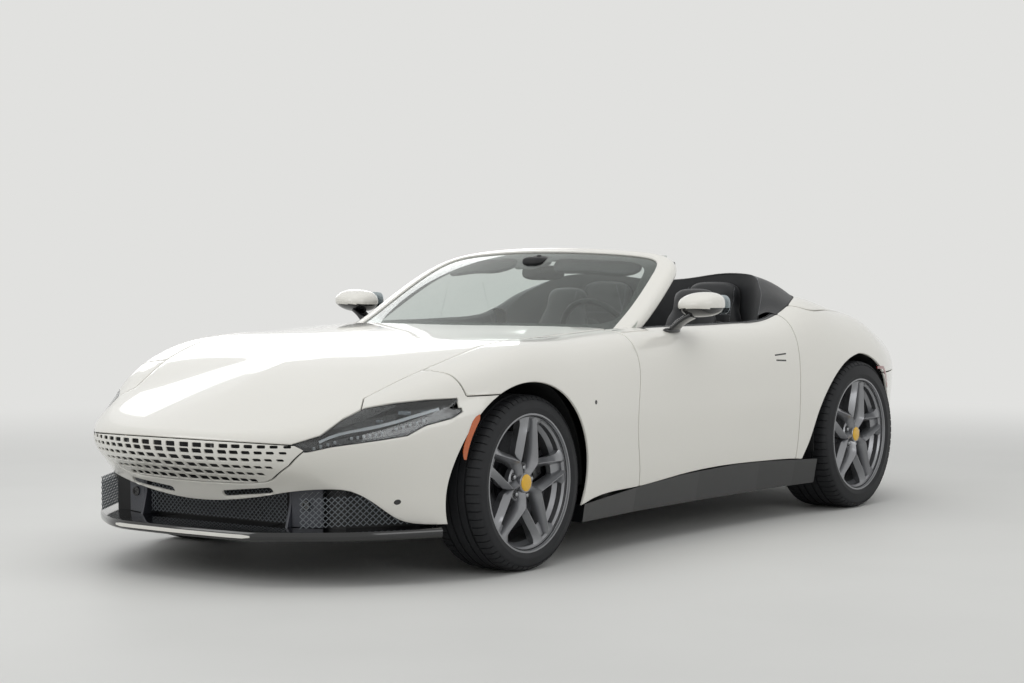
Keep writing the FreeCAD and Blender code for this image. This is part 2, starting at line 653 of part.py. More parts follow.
# Tub: floor, firewall and rear bulkhead.
floor_top = value("floor_top")
floor_low = floor_top - value("floor_thickness")
cabin_y = value("cabin_half_width")
cabin_rear = value("cabin_rear_x")
floor_y = value("floor_half_width")
FLOOR_PLAN = [(1690, 500), (930, 500), (880, floor_y), (-940, floor_y), (-980, 600), (-1750, 600)]
FLOOR_PLAN += [(x, -y) for x, y in reversed(FLOOR_PLAN)]
FIREWALL_X = value("firewall_x")
WALL = value("bulkhead_wall")
ARCH_INNER_Y = 638
BULKHEAD_TOP = 966
tub = plan_prism(FLOOR_PLAN, floor_low, floor_top)
tub = tub.fuse(block(FIREWALL_X, FIREWALL_X + WALL, -700, 700, floor_top, COWL_TOP - COWL_WALL))
bulkhead = block(cabin_rear - WALL, cabin_rear, -ARCH_INNER_Y, ARCH_INNER_Y, floor_top, BULKHEAD_TOP)
tub = tub.fuse(bulkhead).fuse(block(cabin_rear - WALL, cabin_rear, -floor_y, floor_y, 770, BULKHEAD_TOP))
feature("floor_pan", finish(tub))

# Dashboard and centre console, as side outlines.
DASH_OUTLINE = [(FIREWALL_X, 600), (FIREWALL_X, 830), (300, 830), (285, 882), (150, 880), (70, 810)]
DASH_OUTLINE += [(90, 680), (220, 610)]
CONSOLE_OUTLINE = [(300, floor_top), (300, 610), (90, 560), (-150, 520), (-640, 500), (-690, 440)]
CONSOLE_OUTLINE += [(-690, floor_top)]
CONSOLE_Y = 112
dash = side_prism(DASH_OUTLINE, -730, 730)
console = side_prism(CONSOLE_OUTLINE, -CONSOLE_Y, CONSOLE_Y).cut(side_prism(DASH_OUTLINE, -730, 730))
wheel_centre = Vector(0, value("seat_y"), 850)
tilt = math.radians(value("steering_tilt"))
column_dir = Vector(-math.cos(tilt), 0, math.sin(tilt))
COLUMN_RADIUS = 22
column = Part.makeCylinder(COLUMN_RADIUS, 160, wheel_centre + column_dir * -190, column_dir)
column_bore = Part.makeCylinder(
    COLUMN_RADIUS + value("running_gap"), 300, wheel_centre + column_dir * -190.3, column_dir
)
feature("dashboard", finish(dash.cut(column_bore)))
feature("centre_console", finish(console))

# Front seats.
SEAT_HALF = 245
CUSHION = [(-640, floor_top), (-640, 380), (-560, 395), (-120, 420), (-60, 380), (-80, floor_top)]
BACK = [(-640, 380), (-560, 395), (-650, 700), (-745, 960), (-830, 960), (-790, 700), (-720, 380)]
HEADREST = [(-745, 960), (-760, 1090), (-800, 1115), (-835, 1090), (-830, 960)]
seat_y = value("seat_y")
seat = side_prism(CUSHION, seat_y - SEAT_HALF, seat_y + SEAT_HALF)
seat = seat.fuse(side_prism(BACK, seat_y - SEAT_HALF, seat_y + SEAT_HALF))
seat = seat.fuse(side_prism(HEADREST, seat_y - 120, seat_y + 120))
feature("front_seats", both_sides(finish(seat)))
REAR_SEAT = [(-880, floor_top), (-880, 420), (-1010, 440), (-1070, 900), (-1100, 1120), (-1140, 1150)]
REAR_SEAT += [(cabin_rear, 1120), (cabin_rear, floor_top)]
rear_seat_y = value("rear_seat_y")
rear_seat = side_prism(REAR_SEAT, rear_seat_y - 190, rear_seat_y + 190)
feature("rear_seats", both_sides(finish(rear_seat)))

# Trim round the rear of the cabin and over the stowed roof.
SURROUND = [(-806, 300), (-806, 930), (-900, 975), (-1000, 1020), (cabin_rear, 1020), (cabin_rear, 300)]
TRIM_WALL = 10
surround = side_prism(SURROUND, floor_y - TRIM_WALL, floor_y)
surround = surround.cut(block(cabin_rear - 1, FAR, 0, FAR, 1010, FAR))
rear_arch_room = value("arch_radius") + value("liner_gap") + value("liner_wall") + 1
surround = surround.cut(cross_rod(rear_arch_room, rear_x, rear_z, 0, FAR))
feature("cabin_surround", both_sides(finish(surround)))

# Splitter, the mesh of the lower intake, and the uprights between its three openings.
NOSE_PLAN = [(2265, 0), (2258, 218), (2235, 360), (2150, 518), (2040, 650), (1905, 760)]
NOSE_PLAN += [(1740, 860), (1700, 860)]
SPLITTER_LOW = 165
SPLITTER_TOP = 205
INTAKE_X = 2020
MESH_X = 2035
MESH_WALL = 20
MESH_HALF = 610
FIN_Y = (370, 392)
FIN_FRONT_X = 2120
nose_plan = NOSE_PLAN + [(1700, 500), (1700, 0)]
nose_plan = nose_plan + [(x, -y) for x, y in reversed(nose_plan[1:-1])]
splitter = plan_prism(nose_plan, SPLITTER_LOW, SPLITTER_TOP)
upstand = outer_whole.common(block(1640, INTAKE_X, -FAR, FAR, SPLITTER_TOP, value("panel_bottom")))
upstand = upstand.cut(block(1500, FAR, -MESH_HALF, MESH_HALF, 0, FAR)).cut(both_sides(front_arch_cut))
fin = inner_whole.common(block(MESH_X, FIN_FRONT_X, *FIN_Y, SPLITTER_TOP, 345))
splitter = splitter.fuse(upstand).cut(both_sides(front_arch_cut)).fuse([fin, mirrored(fin)])
feature("splitter", finish(splitter))
mesh = inner_whole.common(block(MESH_X - MESH_WALL, MESH_X, -MESH_HALF, MESH_HALF, SPLITTER_TOP, 345))
feature("intake_mesh", finish(mesh))
DIFFUSER = [(-1755, 150), (-1755, 172), (-1960, 228), (-2328, 228), (-2250, 190), (-1900, 150)]
diffuser = outer_whole.common(side_prism(DIFFUSER, -700, 700))
feature("diffuser", finish(diffuser))

# Engine.
engine = doc.addObject("Part::Box", "engine_block")
engine.setExpression("Length", "sizes.engine_length")
engine.setExpression("Width", "sizes.engine_width")
engine.setExpression("Height", "sizes.engine_height")
engine.setExpression("Placement.Base.x", "sizes.firewall_x + sizes.bulkhead_wall + sizes.engine_gap")
engine.setExpression("Placement.Base.y", "-sizes.engine_width / 2")
engine.setExpression("Placement.Base.z", "sizes.floor_top")
keep(engine, "engine_block")


def plane_of(body, role):
    return [item for item in body.Origin.OriginFeatures if item.Role == role][0]


def sketch(body, name, role, points):
    """Closed outline on one of the body's planes, each corner held to two expressions."""
    flat = body.newObject("Sketcher::SketchObject", name)
    flat.AttachmentSupport = (plane_of(body, role), [""])
    flat.MapMode = "FlatFace"
    corners = [Vector(size(across), size(up), 0) for across, up in points]
    count = len(corners)
    for i in range(count):
        flat.addGeometry(Part.LineSegment(corners[i], corners[(i + 1) % count]), False)
    for i in range(count):
        flat.addConstraint(Sketcher.Constraint("Coincident", i, 2, (i + 1) % count, 1))
    for i, (across, up) in enumerate(points):
        for kind, expression in (("DistanceX", across), ("DistanceY", up)):
            held = Sketcher.Constraint(kind, -1, 1, i, 1, size(expression))
            flat.setExpression(f"Constraints[{flat.addConstraint(held)}]", expression)
    return flat


def turned(label, points, role="XY_Plane"):
    """Body turned about its Y axis from an outline in (radius, y)."""
    body = doc.addObject("PartDesign::Body", label)
    body.Label = label
    outline = sketch(body, label + "_outline", role, points)
    spin = body.newObject("PartDesign::Revolution", label + "_turned")
    spin.Profile = outline
    spin.ReferenceAxis = (outline, ["V_Axis"])
    spin.Angle = 360
    return body


# Wheels, outer side towards +Y: rim, tyre and brake disc of each axle.
def wheel_names(end):
    return f"sizes.{end}_tyre_radius", f"sizes.{end}_tyre_width / 2"


def tyre_outline(end):
    radius, half = wheel_names(end)
    bead = "sizes.rim_seat_radius + sizes.running_gap"
    lip = "sizes.rim_radius + sizes.running_gap"
    side = [
        (bead, f"{half} - 16"),
        (lip, f"{half} - 16"),
        (lip, f"{half} - 5"),
        ("sizes.rim_radius + 20", half),
        (f"{radius} - 42", half),
        (f"{radius} - 8", f"{half} - 16"),
        (radius, f"{half} - 40"),
    ]
    far_side = [(across, f"-({up})") for across, up in reversed(side)]
    return side + far_side


def rim_outline(end):
    half = f"(sizes.{end}_tyre_width / 2)"
    flange = "sizes.rim_radius"
    seat = "sizes.rim_seat_radius"
    inner = "sizes.rim_seat_radius - sizes.rim_wall"
    return [
        (inner, f"-{half} + 6"),
        (flange, f"-{half} + 6"),
        (flange, f"-{half} + 15"),
        (seat, f"-{half} + 15"),
        (seat, f"{half} - 15"),
        (flange, f"{half} - 15"),
        (flange, f"{half} - 6"),
        (inner, f"{half} - 6"),
    ]


def wheel_body(end, side):
    """Rim with five pairs of spokes, for one corner of the car."""
    label = f"rim_{end}_{side}"
    body = turned(label, rim_outline(end))
    half = f"sizes.{end}_tyre_width / 2"
    face = f"{half} - sizes.face_inset"
    hub = sketch(
        body,
        label + "_hub",
        "XY_Plane",
        [
            ("sizes.spindle_radius + sizes.running_gap", f"{face} - sizes.hub_depth"),
            ("sizes.hub_radius", f"{face} - sizes.hub_depth"),
            ("sizes.hub_radius", f"{face} - 12"),
            ("sizes.cap_radius", face),
            ("0", face),
            ("0", f"{face} - 14"),
            ("sizes.spindle_radius + sizes.running_gap", f"{face} - 14"),
        ],
    )
    centre = body.newObject("PartDesign::Revolution", label + "_centre")
    centre.Profile = hub
    centre.ReferenceAxis = (hub, ["V_Axis"])
    centre.Angle = 360
    arms = []
    for side_sign in ("", "-"):
        name = label + ("_arm" if side_sign else "_twin")
        corners = [
            (f"{side_sign}8", "sizes.hub_radius - 12"),
            (f"{side_sign}34", "sizes.hub_radius - 16"),
            (f"{side_sign}(66 + sizes.spoke_width)", "sizes.rim_seat_radius - sizes.rim_wall / 2 - 18"),
            (f"{side_sign}66", "sizes.rim_seat_radius - sizes.rim_wall / 2 - 10"),
        ]
        spoke = sketch(body, name + "_outline", "XZ_Plane", corners)
        spoke.setExpression("AttachmentOffset.Base.z", f"-({face})")
        arm = body.newObject("PartDesign::Pad", name)
        arm.Profile = spoke
        arm.setExpression("Length", "sizes.spoke_depth")
        arms.append(arm)
    doc.recompute()
    ring = body.newObject("PartDesign::PolarPattern", label + "_ring")
    ring.Originals = arms
    ring.Axis = (spoke, ["N_Axis"])
    ring.Angle = 360
    ring.Occurrences = 5
    body.Tip = ring
    return body


def disc_outline(end):
    back = f"sizes.{end}_tyre_y"
    plane = "sizes.kingpin_y + 46"
    low = f"{plane} - {back}"
    return [
        ("sizes.spindle_radius + sizes.running_gap", low),
        ("sizes.disc_radius", low),
        ("sizes.disc_radius", f"{low} + sizes.disc_thickness"),
        ("sizes.spindle_radius + sizes.running_gap", f"{low} + sizes.disc_thickness"),
    ]


# Placement of a corner: the car's left wheels face +Y, the right ones are turned half round.
CORNERS = [("front", "left", 1), ("front", "right", -1), ("rear", "left", 1), ("rear", "right", -1)]
for end, side, sign in CORNERS:
    corner_bodies = [
        (wheel_body(end, side), f"rim_{end}_{side}"),
        (turned(f"tyre_{end}_{side}", tyre_outline(end)), f"tyre_{end}_{side}"),
        (turned(f"brake_disc_{end}_{side}", disc_outline(end)), f"brake_disc_{end}_{side}"),
    ]
    for body, label in corner_bodies:
        body.setExpression("Placement.Base.x", f"sizes.{end}_axle_x")
        body.setExpression("Placement.Base.y", f"{sign} * sizes.{end}_tyre_y")
        body.setExpression("Placement.Base.z", f"sizes.{end}_tyre_radius")
        if sign < 0:
            body.Placement = Placement(body.Placement.Base, Rotation(Vector(0, 0, 1), 180))
        keep(body, label)
doc.recompute()

# Uprights with their spindles. The front ones turn on ball pins of the subframe's arms.
king_y = value("kingpin_y")
pin_r = value("kingpin_radius")
spindle_r = value("spindle_radius")
BEARING_R = 58
PIN_DROP = 118


def upright(x, z, tyre_y, tyre_half):
    """Left upright: bearing block, arm up and down to the pins, spindle into the wheel's hub."""
    hub_end = tyre_y + tyre_half - value("face_inset") - 14 - run
    body = cross_rod(BEARING_R, x, z, king_y - 30, king_y + 42)
    body = body.fuse(block(x - 26, x + 26, king_y - 26, king_y + 26, z - PIN_DROP, z + PIN_DROP))
    return body.fuse(cross_rod(spindle_r, x, z, king_y + 40, hub_end))


def lower_arms(x, z, inner_y):
    """Left pair of wishbones between the subframe and the pins, with the pins."""
    arms = []
    for rise in (-PIN_DROP - 20, PIN_DROP + run):
        plan = [(x - 170, inner_y), (x + 170, inner_y), (x + 24, king_y + 24), (x - 24, king_y + 24)]
        arms.append(plan_prism(plan, z + rise, z + rise + 20 - run))
    pins = post(pin_r, x, king_y, z - PIN_DROP - 10, z - PIN_DROP + 60)
    pins = pins.fuse(post(pin_r, x, king_y, z + PIN_DROP - 60, z + PIN_DROP + 10))
    return arms[0].fuse(arms[1]).fuse(pins)


def cross_frame(x, z, inner_y):
    """Crossmember with a tower at each side that carries the arms."""
    beam = block(x - 120, x + 120, -inner_y, inner_y, floor_top, floor_top + 60)
    left = block(x - 170, x + 170, inner_y - 60, inner_y, floor_top, z + PIN_DROP + 40)
    return beam.fuse([left, mirrored(left)])


front_upright = upright(front_x, front_z, value("front_tyre_y"), value("front_tyre_width") / 2)
bores = post(pin_r + run, front_x, king_y, front_z - PIN_DROP - 1, front_z - PIN_DROP + 60 + run)
bores = bores.fuse(post(pin_r + run, front_x, king_y, front_z + PIN_DROP - 60 - run, front_z + PIN_DROP + 1))
front_upright = front_upright.cut(bores)
feature("knuckle_left", finish(front_upright))
feature("knuckle_right", finish(mirrored(front_upright)))
front_arms = lower_arms(front_x, front_z, 420)
subframe = cross_frame(front_x, front_z, 420).fuse([front_arms, mirrored(front_arms)])
ENGINE_ROOM = 20
engine_rear = FIREWALL_X + WALL + value("engine_gap")
engine_front = engine_rear + value("engine_length") + ENGINE_ROOM + 10
engine_side = value("engine_width") / 2 + ENGINE_ROOM
engine_top = floor_top + value("engine_height") + 128
subframe = subframe.cut(
    block(engine_rear - 50, engine_front, -engine_side, engine_side, floor_top, engine_top)
)
feature("front_subframe", finish(subframe))
rear_upright = upright(rear_x, rear_z, value("rear_tyre_y"), value("rear_tyre_width") / 2)
rear_arms = lower_arms(rear_x, rear_z, 420)
feature("rear_subframe", finish(cross_frame(rear_x, rear_z, 420).fuse([rear_arms, mirrored(rear_arms)])))
rear_upright = rear_upright.cut(rear_arms)
feature("rear_uprights", both_sides(finish(rear_upright)))

# Arch liners: half shells inside the wings, shut at their inner side.
liner_in = value("arch_radius") + value("liner_gap")
liner_out = liner_in + value("liner_wall")
LINER_SIDES = {"front": (528, 905), "rear": (640, 940)}


def liner(x, z, inner_y, outer_y):
    shell = cross_rod(liner_out, x, z, inner_y, outer_y)
    shell = shell.cut(cross_rod(liner_in, x, z, inner_y + value("liner_wall"), outer_y + 1))
    return shell.cut(block(x - 500, x + 500, inner_y - 1, outer_y + 1, 0, 300))


front_liner = liner(front_x, front_z, *LINER_SIDES["front"])
rear_liner = liner(rear_x, rear_z, *LINER_SIDES["rear"])
inner_space = half_hull(value("skin") + 0.5)
liners = front_liner.fuse(rear_liner).common(inner_space)
liners = liners.cut(block(-FAR, FAR, -1, 700, 0, 500))
feature("arch_liners", both_sides(finish(liners)))

# Steering wheel: rim, three spokes and boss round the column.
rim = doc.addObject("Part::Torus", "steering_rim")
rim.setExpression("Radius1", "sizes.steering_wheel_radius")
rim.setExpression("Radius2", "sizes.steering_rim_radius")
doc.recompute()
wheel_shape = rim.Shape.copy()
steer_r = value("steering_wheel_radius")
for angle in (0, 180, 270):
    spoke = Part.makeBox(steer_r - 5, 36, 12, Vector(0, -18, -20))
    wheel_shape = wheel_shape.fuse(spoke.rotated(Vector(), Vector(0, 0, 1), angle))
wheel_shape = wheel_shape.fuse(Part.makeCylinder(46, 30, Vector(0, 0, -40)))
wheel_shape = wheel_shape.fuse(Part.makeCylinder(COLUMN_RADIUS, 150, Vector(0, 0, -188)))
facing = Rotation(Vector(0, 0, 1), column_dir).multiply(Rotation(Vector(0, 0, 1), 90))
steering = feature("steering_wheel", finish(wheel_shape))
steering.Placement = Placement(wheel_centre, facing)
doc.removeObject("steering_rim")

doc.recompute()

# Nothing is written unless every object and every sub-part is sound.
faults = [obj.Label for obj in doc.Objects if "Invalid" in obj.State or "Error" in obj.State]
faults += [obj.Label for obj in PARTS if obj.Shape.isNull() or not obj.Shape.isValid()]
if faults:
    raise RuntimeError("unsound: " + ", ".join(faults))
os.makedirs("parts", exist_ok=True)
for obj in PARTS:
    obj.Shape.exportStep(f"parts/{obj.Label}.step")
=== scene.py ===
"""White front-engined convertible with its roof stowed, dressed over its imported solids.

Metres, +X forward, +Y the car's left, +Z up, origin on the ground at mid-length.
"""

import math

import bmesh
import bpy
import numpy as np
from mathutils import Matrix, Vector


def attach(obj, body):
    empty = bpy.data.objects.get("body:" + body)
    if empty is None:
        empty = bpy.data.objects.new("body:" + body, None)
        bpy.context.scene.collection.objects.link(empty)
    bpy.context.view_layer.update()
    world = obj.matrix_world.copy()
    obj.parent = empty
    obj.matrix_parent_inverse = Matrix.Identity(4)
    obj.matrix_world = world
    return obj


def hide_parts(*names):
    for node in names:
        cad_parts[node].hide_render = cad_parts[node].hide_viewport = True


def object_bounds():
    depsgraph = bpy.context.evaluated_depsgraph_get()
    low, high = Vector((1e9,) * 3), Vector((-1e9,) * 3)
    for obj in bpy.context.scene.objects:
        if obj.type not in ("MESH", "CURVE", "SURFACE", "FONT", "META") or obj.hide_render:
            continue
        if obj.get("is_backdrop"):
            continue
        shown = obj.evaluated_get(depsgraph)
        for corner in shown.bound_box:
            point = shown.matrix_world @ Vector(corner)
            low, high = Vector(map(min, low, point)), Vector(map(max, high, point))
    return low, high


bl_info = {
    "name": "White convertible",
    "version": (1, 0, 0),
    "blender": (4, 5, 0),
    "location": "View3D > Sidebar > Convertible",
    "description": "Body, cabin, wheels and studio of a white convertible",
    "category": "Object",
}

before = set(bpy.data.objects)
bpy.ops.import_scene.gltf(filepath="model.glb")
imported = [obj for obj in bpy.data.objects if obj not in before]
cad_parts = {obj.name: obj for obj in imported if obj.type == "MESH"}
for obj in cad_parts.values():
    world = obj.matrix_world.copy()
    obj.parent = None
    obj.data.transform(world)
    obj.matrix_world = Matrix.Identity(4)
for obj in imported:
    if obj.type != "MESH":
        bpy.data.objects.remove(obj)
CAD_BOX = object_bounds()


class ConvertibleSizes(bpy.types.PropertyGroup):
    """Sizes that a user would change."""

    panel_gap: bpy.props.FloatProperty(
        name="Panel gap", description="Width of the shut lines", default=0.0045, unit="LENGTH"
    )
    panel_wall: bpy.props.FloatProperty(
        name="Panel wall", description="Thickness of a body panel", default=0.009, unit="LENGTH"
    )
    edge_roll: bpy.props.FloatProperty(
        name="Edge roll", description="Radius of a panel's folded edge", default=0.003, unit="LENGTH"
    )
    skin_step: bpy.props.FloatProperty(
        name="Skin step", description="Mesh step along the body", default=0.015, unit="LENGTH"
    )
    grille_step: bpy.props.FloatProperty(
        name="Grille step", description="Mesh step of the slotted grille", default=0.0034, unit="LENGTH"
    )
    tread_blocks: bpy.props.IntProperty(
        name="Tread blocks", description="Blocks round one row of a tyre's tread", default=64
    )
    mesh_cell: bpy.props.FloatProperty(
        name="Mesh cell", description="Pitch of the intake's honeycomb", default=0.021, unit="LENGTH"
    )


class ConvertibleColours(bpy.types.PropertyGroup):
    """Colours that a user would change, as sRGB hex."""

    paint: bpy.props.StringProperty(name="Paint", description="Pearl white of the body", default="#E9E7E0")
    leather: bpy.props.StringProperty(name="Leather", description="Seats and dashboard", default="#17181A")
    alloy: bpy.props.StringProperty(name="Alloy", description="Painted wheels", default="#9A9B9E")
    hub_cap: bpy.props.StringProperty(name="Hub cap", description="Plain enamel caps", default="#E3B21C")
    floor: bpy.props.StringProperty(name="Floor", description="Studio floor", default="#D9D9D6")


# Materials


def to_linear(text):
    """sRGB hex to a linear colour with alpha."""
    channels = [int(text[i : i + 2], 16) / 255 for i in (1, 3, 5)]
    return [c / 12.92 if c <= 0.04045 else ((c + 0.055) / 1.055) ** 2.4 for c in channels] + [1.0]


def add_node(tree, kind, settings=None, inputs=None):
    """Adds a node with its settings; an input is a value or the output socket that feeds it."""
    node = tree.nodes.new(kind)
    for key, value in (settings or {}).items():
        setattr(node, key, value)
    for key, value in (inputs or {}).items():
        if isinstance(value, bpy.types.NodeSocket):
            tree.links.new(value, node.inputs[key])
        else:
            node.inputs[key].default_value = value
    return node


def new_finish(name):
    """Empty material and its tree, with the object coordinates that its patterns read."""
    material = bpy.data.materials.new(name)
    material.use_nodes = True
    tree = material.node_tree
    tree.nodes.clear()
    place = add_node(tree, "ShaderNodeTexCoord").outputs["Object"]
    return material, tree, place


def close_finish(tree, shader):
    """Leads a shader to the material's surface."""
    add_node(tree, "ShaderNodeOutputMaterial", inputs={"Surface": shader.outputs[0]})


FINISHES = {}


def finish(name):
    """The material of that name, made when it is first asked for."""
    if name not in FINISHES:
        FINISHES[name] = FINISH_MAKERS[name]()
    return FINISHES[name]


def tint(tree, factor, dark, light):
    """Colour between two hex values by a 0 to 1 socket."""
    ramp = add_node(tree, "ShaderNodeMix", {"data_type": "RGBA"}, {"Factor": factor})
    ramp.inputs[6].default_value = to_linear(dark)
    ramp.inputs[7].default_value = to_linear(light)
    return ramp.outputs[2]


def noise(scale, detail=2.0):
    """Cloudy pattern: its node, inputs and output."""
    return "ShaderNodeTexNoise", {"Scale": scale, "Detail": detail}, "Fac"


def cells(scale):
    """Pattern of small pebbles."""
    return "ShaderNodeTexVoronoi", {"Scale": scale}, "Distance"


def read_pattern(tree, place, pattern):
    """Socket with the level of a pattern at a place."""
    kind, inputs, output = pattern
    return add_node(tree, kind, inputs={"Vector": place, **inputs}).outputs[output]


def mottled(name, dark, light, pattern, shading, relief=None, normal="Normal"):
    """Finish of two close colours mixed by a pattern, which a pair of roughness values follows too.

    The relief is a pattern, its depth in metres and its strength, and bends the named normal.
    """
    material, tree, place = new_finish(name)
    level = read_pattern(tree, place, pattern)
    inputs = {**shading, "Base Color": tint(tree, level, dark, light)}
    if isinstance(shading["Roughness"], tuple):
        low, high = shading["Roughness"]
        ramp = add_node(tree, "ShaderNodeMapRange", inputs={"Value": level, "To Min": low, "To Max": high})
        inputs["Roughness"] = ramp.outputs[0]
    if relief:
        height = read_pattern(tree, place, relief[0])
        bump = {"Height": height, "Distance": relief[1], "Strength": relief[2]}
        inputs[normal] = add_node(tree, "ShaderNodeBump", inputs=bump).outputs["Normal"]
    close_finish(tree, add_node(tree, "ShaderNodeBsdfPrincipled", inputs=inputs))
    return material


CLEAR = {"Roughness": 0.0, "IOR": 1.5, "Transmission Weight": 1.0}


def pearl_paint():
    # Three-coat pearl enamel, sprayed and lacquered: a warm white whose clear coat gives crisp
    # highlights over a faint 6 mm orange peel, with 1 mm mica that brightens it.
    white = bpy.context.scene.convertible_colours.paint
    shading = {"Roughness": 0.32, "Coat Weight": 1.0, "Coat Roughness": 0.035}
    peel = (noise(160.0, 1.0), 0.0002, 0.05)
    return mottled("pearl_paint", "#DEDCD4", white, noise(900.0, 1.0), shading, peel, "Coat Normal")


def grained_plastic():
    # Injection-moulded black polypropylene with a 1 mm stipple: the matt lower trim.
    stipple = (cells(700.0), 0.0004, 0.35)
    return mottled("grained_plastic", "#141516", "#1F2022", noise(9.0, 3.0), {"Roughness": 0.55}, stipple)


def gloss_black():
    # Piano-black lacquered ABS: deep black that mirrors the studio, with faint polish haze.
    shading = {"Roughness": 0.12, "Coat Weight": 0.6, "Coat Roughness": 0.03}
    return mottled("gloss_black", "#08080A", "#101113", noise(30.0), shading)


def windscreen_glass():
    # Laminated green-grey tinted glass: clear, with a cool cast and sharp reflections.
    return mottled("windscreen_glass", "#C9D3CF", "#D4DCD8", noise(3.0, 1.0), CLEAR)


def lens_polycarbonate():
    # Hard-coated clear polycarbonate of the lamp covers: nearly invisible but for its highlights.
    return mottled("lens_polycarbonate", "#E4E8EA", "#EEF1F2", noise(6.0, 1.0), CLEAR)


def mirror_silver():
    # Silvered glass of the door mirrors: a clean reflection with a cool blue cast.
    return mottled("mirror_silver", "#B9C4CC", "#C6CFD6", noise(5.0), {"Metallic": 1.0, "Roughness": 0.04})


def painted_alloy():
    # Cast aluminium wheel in fine silver lacquer: soft metallic sheen with a 1 mm flake.
    silver = bpy.context.scene.convertible_colours.alloy
    shading = {"Metallic": 0.75, "Roughness": 0.3, "Coat Weight": 0.3, "Coat Roughness": 0.08}
    return mottled("painted_alloy", "#8A8B8E", silver, noise(1000.0, 1.0), shading)


def cap_enamel():
    # Hard yellow enamel of the bare hub caps, poured flat: even colour with a slight cloud.
    yellow = bpy.context.scene.convertible_colours.hub_cap
    return mottled("cap_enamel", "#D8A718", yellow, noise(40.0), {"Roughness": 0.2, "Coat Weight": 0.5})


def tyre_rubber():
    # Vulcanised tyre rubber: charcoal black, matt, with a faint 2 mm moulding texture and bloom.
    shading = {"Roughness": 0.62, "Specular IOR Level": 0.35}
    return mottled(
        "tyre_rubber", "#17181A", "#26272A", noise(14.0, 4.0), shading, (noise(450.0), 0.0004, 0.4)
    )


def brake_iron():
    # Machined cast iron of the brake discs: dark grey, with a fine cloud like the iron's grain.
    return mottled(
        "brake_iron", "#3A3B3D", "#525356", noise(120.0, 3.0), {"Metallic": 0.8, "Roughness": 0.42}
    )


def lug_steel():
    # Bright zinc-plated steel nuts, slightly clouded by the plating.
    return mottled("lug_steel", "#8E9092", "#B2B4B6", noise(90.0), {"Metallic": 1.0, "Roughness": 0.3})


def lamp_silver():
    # Aluminised light guide: satin silver that catches the light when the lamp is off.
    return mottled("lamp_silver", "#B9BCC0", "#DADCDF", noise(25.0), {"Metallic": 0.6, "Roughness": 0.28})


def lamp_glass():
    # Clear projector lenses over dark housings: grey-blue and glossy.
    return mottled("lamp_glass", "#5C646C", "#8D969E", noise(60.0), {"Roughness": 0.08, "Coat Weight": 1.0})


def led_white():
    # Small unlit LED lenses: milky white silicone.
    return mottled("led_white", "#B9BDC2", "#D9DCE0", noise(200.0), {"Roughness": 0.15})


def lamp_red():
    # Red-dyed acrylic of the tail lamps and side markers, glossy over a dark reflector.
    return mottled("lamp_red", "#6B0D0F", "#8F1517", noise(150.0), {"Roughness": 0.08, "Coat Weight": 1.0})


def lamp_amber():
    # Amber-dyed acrylic of the front side markers.
    return mottled(
        "lamp_amber", "#B4521A", "#CB6426", noise(150.0), {"Roughness": 0.12, "Coat Weight": 1.0}
    )


def net_wire():
    # Powder-coated expanded steel net of the intake: mid grey, slightly rough.
    return mottled("net_wire", "#5B6064", "#7B8084", noise(300.0), {"Metallic": 0.4, "Roughness": 0.4})


def fin_grey():
    # Satin grey moulded ABS of the intake's uprights, with a 4 mm leather-like grain.
    grain = cells(260.0)
    return mottled("fin_grey", "#3B3D44", "#4C4E56", grain, {"Roughness": 0.38}, (grain, 0.001, 0.5))


def grained_leather():
    # Aniline-dyed cow leather, embossed with 2 mm pebbles: nearly black, with a soft waxed sheen
    # that catches on the grain, and slow patches where it is worn smoother.
    black = bpy.context.scene.convertible_colours.leather
    shading = {"Roughness": (0.36, 0.52), "Sheen Weight": 0.15}
    pebbles = (cells(520.0), 0.0008, 0.45)
    return mottled("grained_leather", black, "#232528", noise(7.0, 3.0), shading, pebbles)


def stitch_thread():
    # Bonded polyester thread in pale grey, twisted: matt with fine strands.
    return mottled("stitch_thread", "#8D9094", "#B4B7BA", noise(900.0), {"Roughness": 0.7})


def satin_metal():
    # Satin-anodised aluminium trim of the cabin: soft grey gleam with a fine brushed cloud.
    return mottled("satin_metal", "#8B8D90", "#A9ABAE", noise(70.0), {"Metallic": 1.0, "Roughness": 0.3})


def satin_black():
    # Satin black lacquer on moulded composite: the skirts and the diffuser.
    return mottled("satin_black", "#0F1011", "#1A1B1D", noise(25.0), {"Roughness": 0.3, "Coat Weight": 0.3})


def tufted_carpet():
    # Needle-tufted nylon carpet, 3 mm tufts: deep black with a rough nap.
    tufts = cells(330.0)
    return mottled("tufted_carpet", "#0D0E0F", "#202123", tufts, {"Roughness": 0.95}, (tufts, 0.003, 0.6))


def pressed_liner():
    # Pressed sheet with dark cathodic dip coating: the undersides of lids and floor.
    ripple = noise(40.0)
    return mottled("pressed_liner", "#1B1C1E", "#2A2B2E", ripple, {"Roughness": 0.5}, (ripple, 0.0003, 0.6))


def moulded_felt():
    # Needled felt of the wheel arches: matt black with 2 mm fibres.
    fibres = noise(480.0)
    return mottled("moulded_felt", "#0C0D0E", "#1A1B1C", fibres, {"Roughness": 0.9}, (fibres, 0.001, 0.6))


def cast_alloy():
    # Sand-cast aluminium of the engine and the axle parts: light grey, sand-rough.
    sand = noise(600.0)
    shading = {"Metallic": 0.85, "Roughness": 0.5}
    return mottled("cast_alloy", "#7A7C7E", "#95979A", sand, shading, (sand, 0.0004, 0.6))


def exhaust_steel():
    # Polished stainless tailpipes, clouded slightly by heat.
    return mottled("exhaust_steel", "#8C8A88", "#B5B4B2", noise(18.0), {"Metallic": 1.0, "Roughness": 0.18})


BACKDROP = "#E1E1DF"
FLOOR_FADE = (3.2, 9.0)


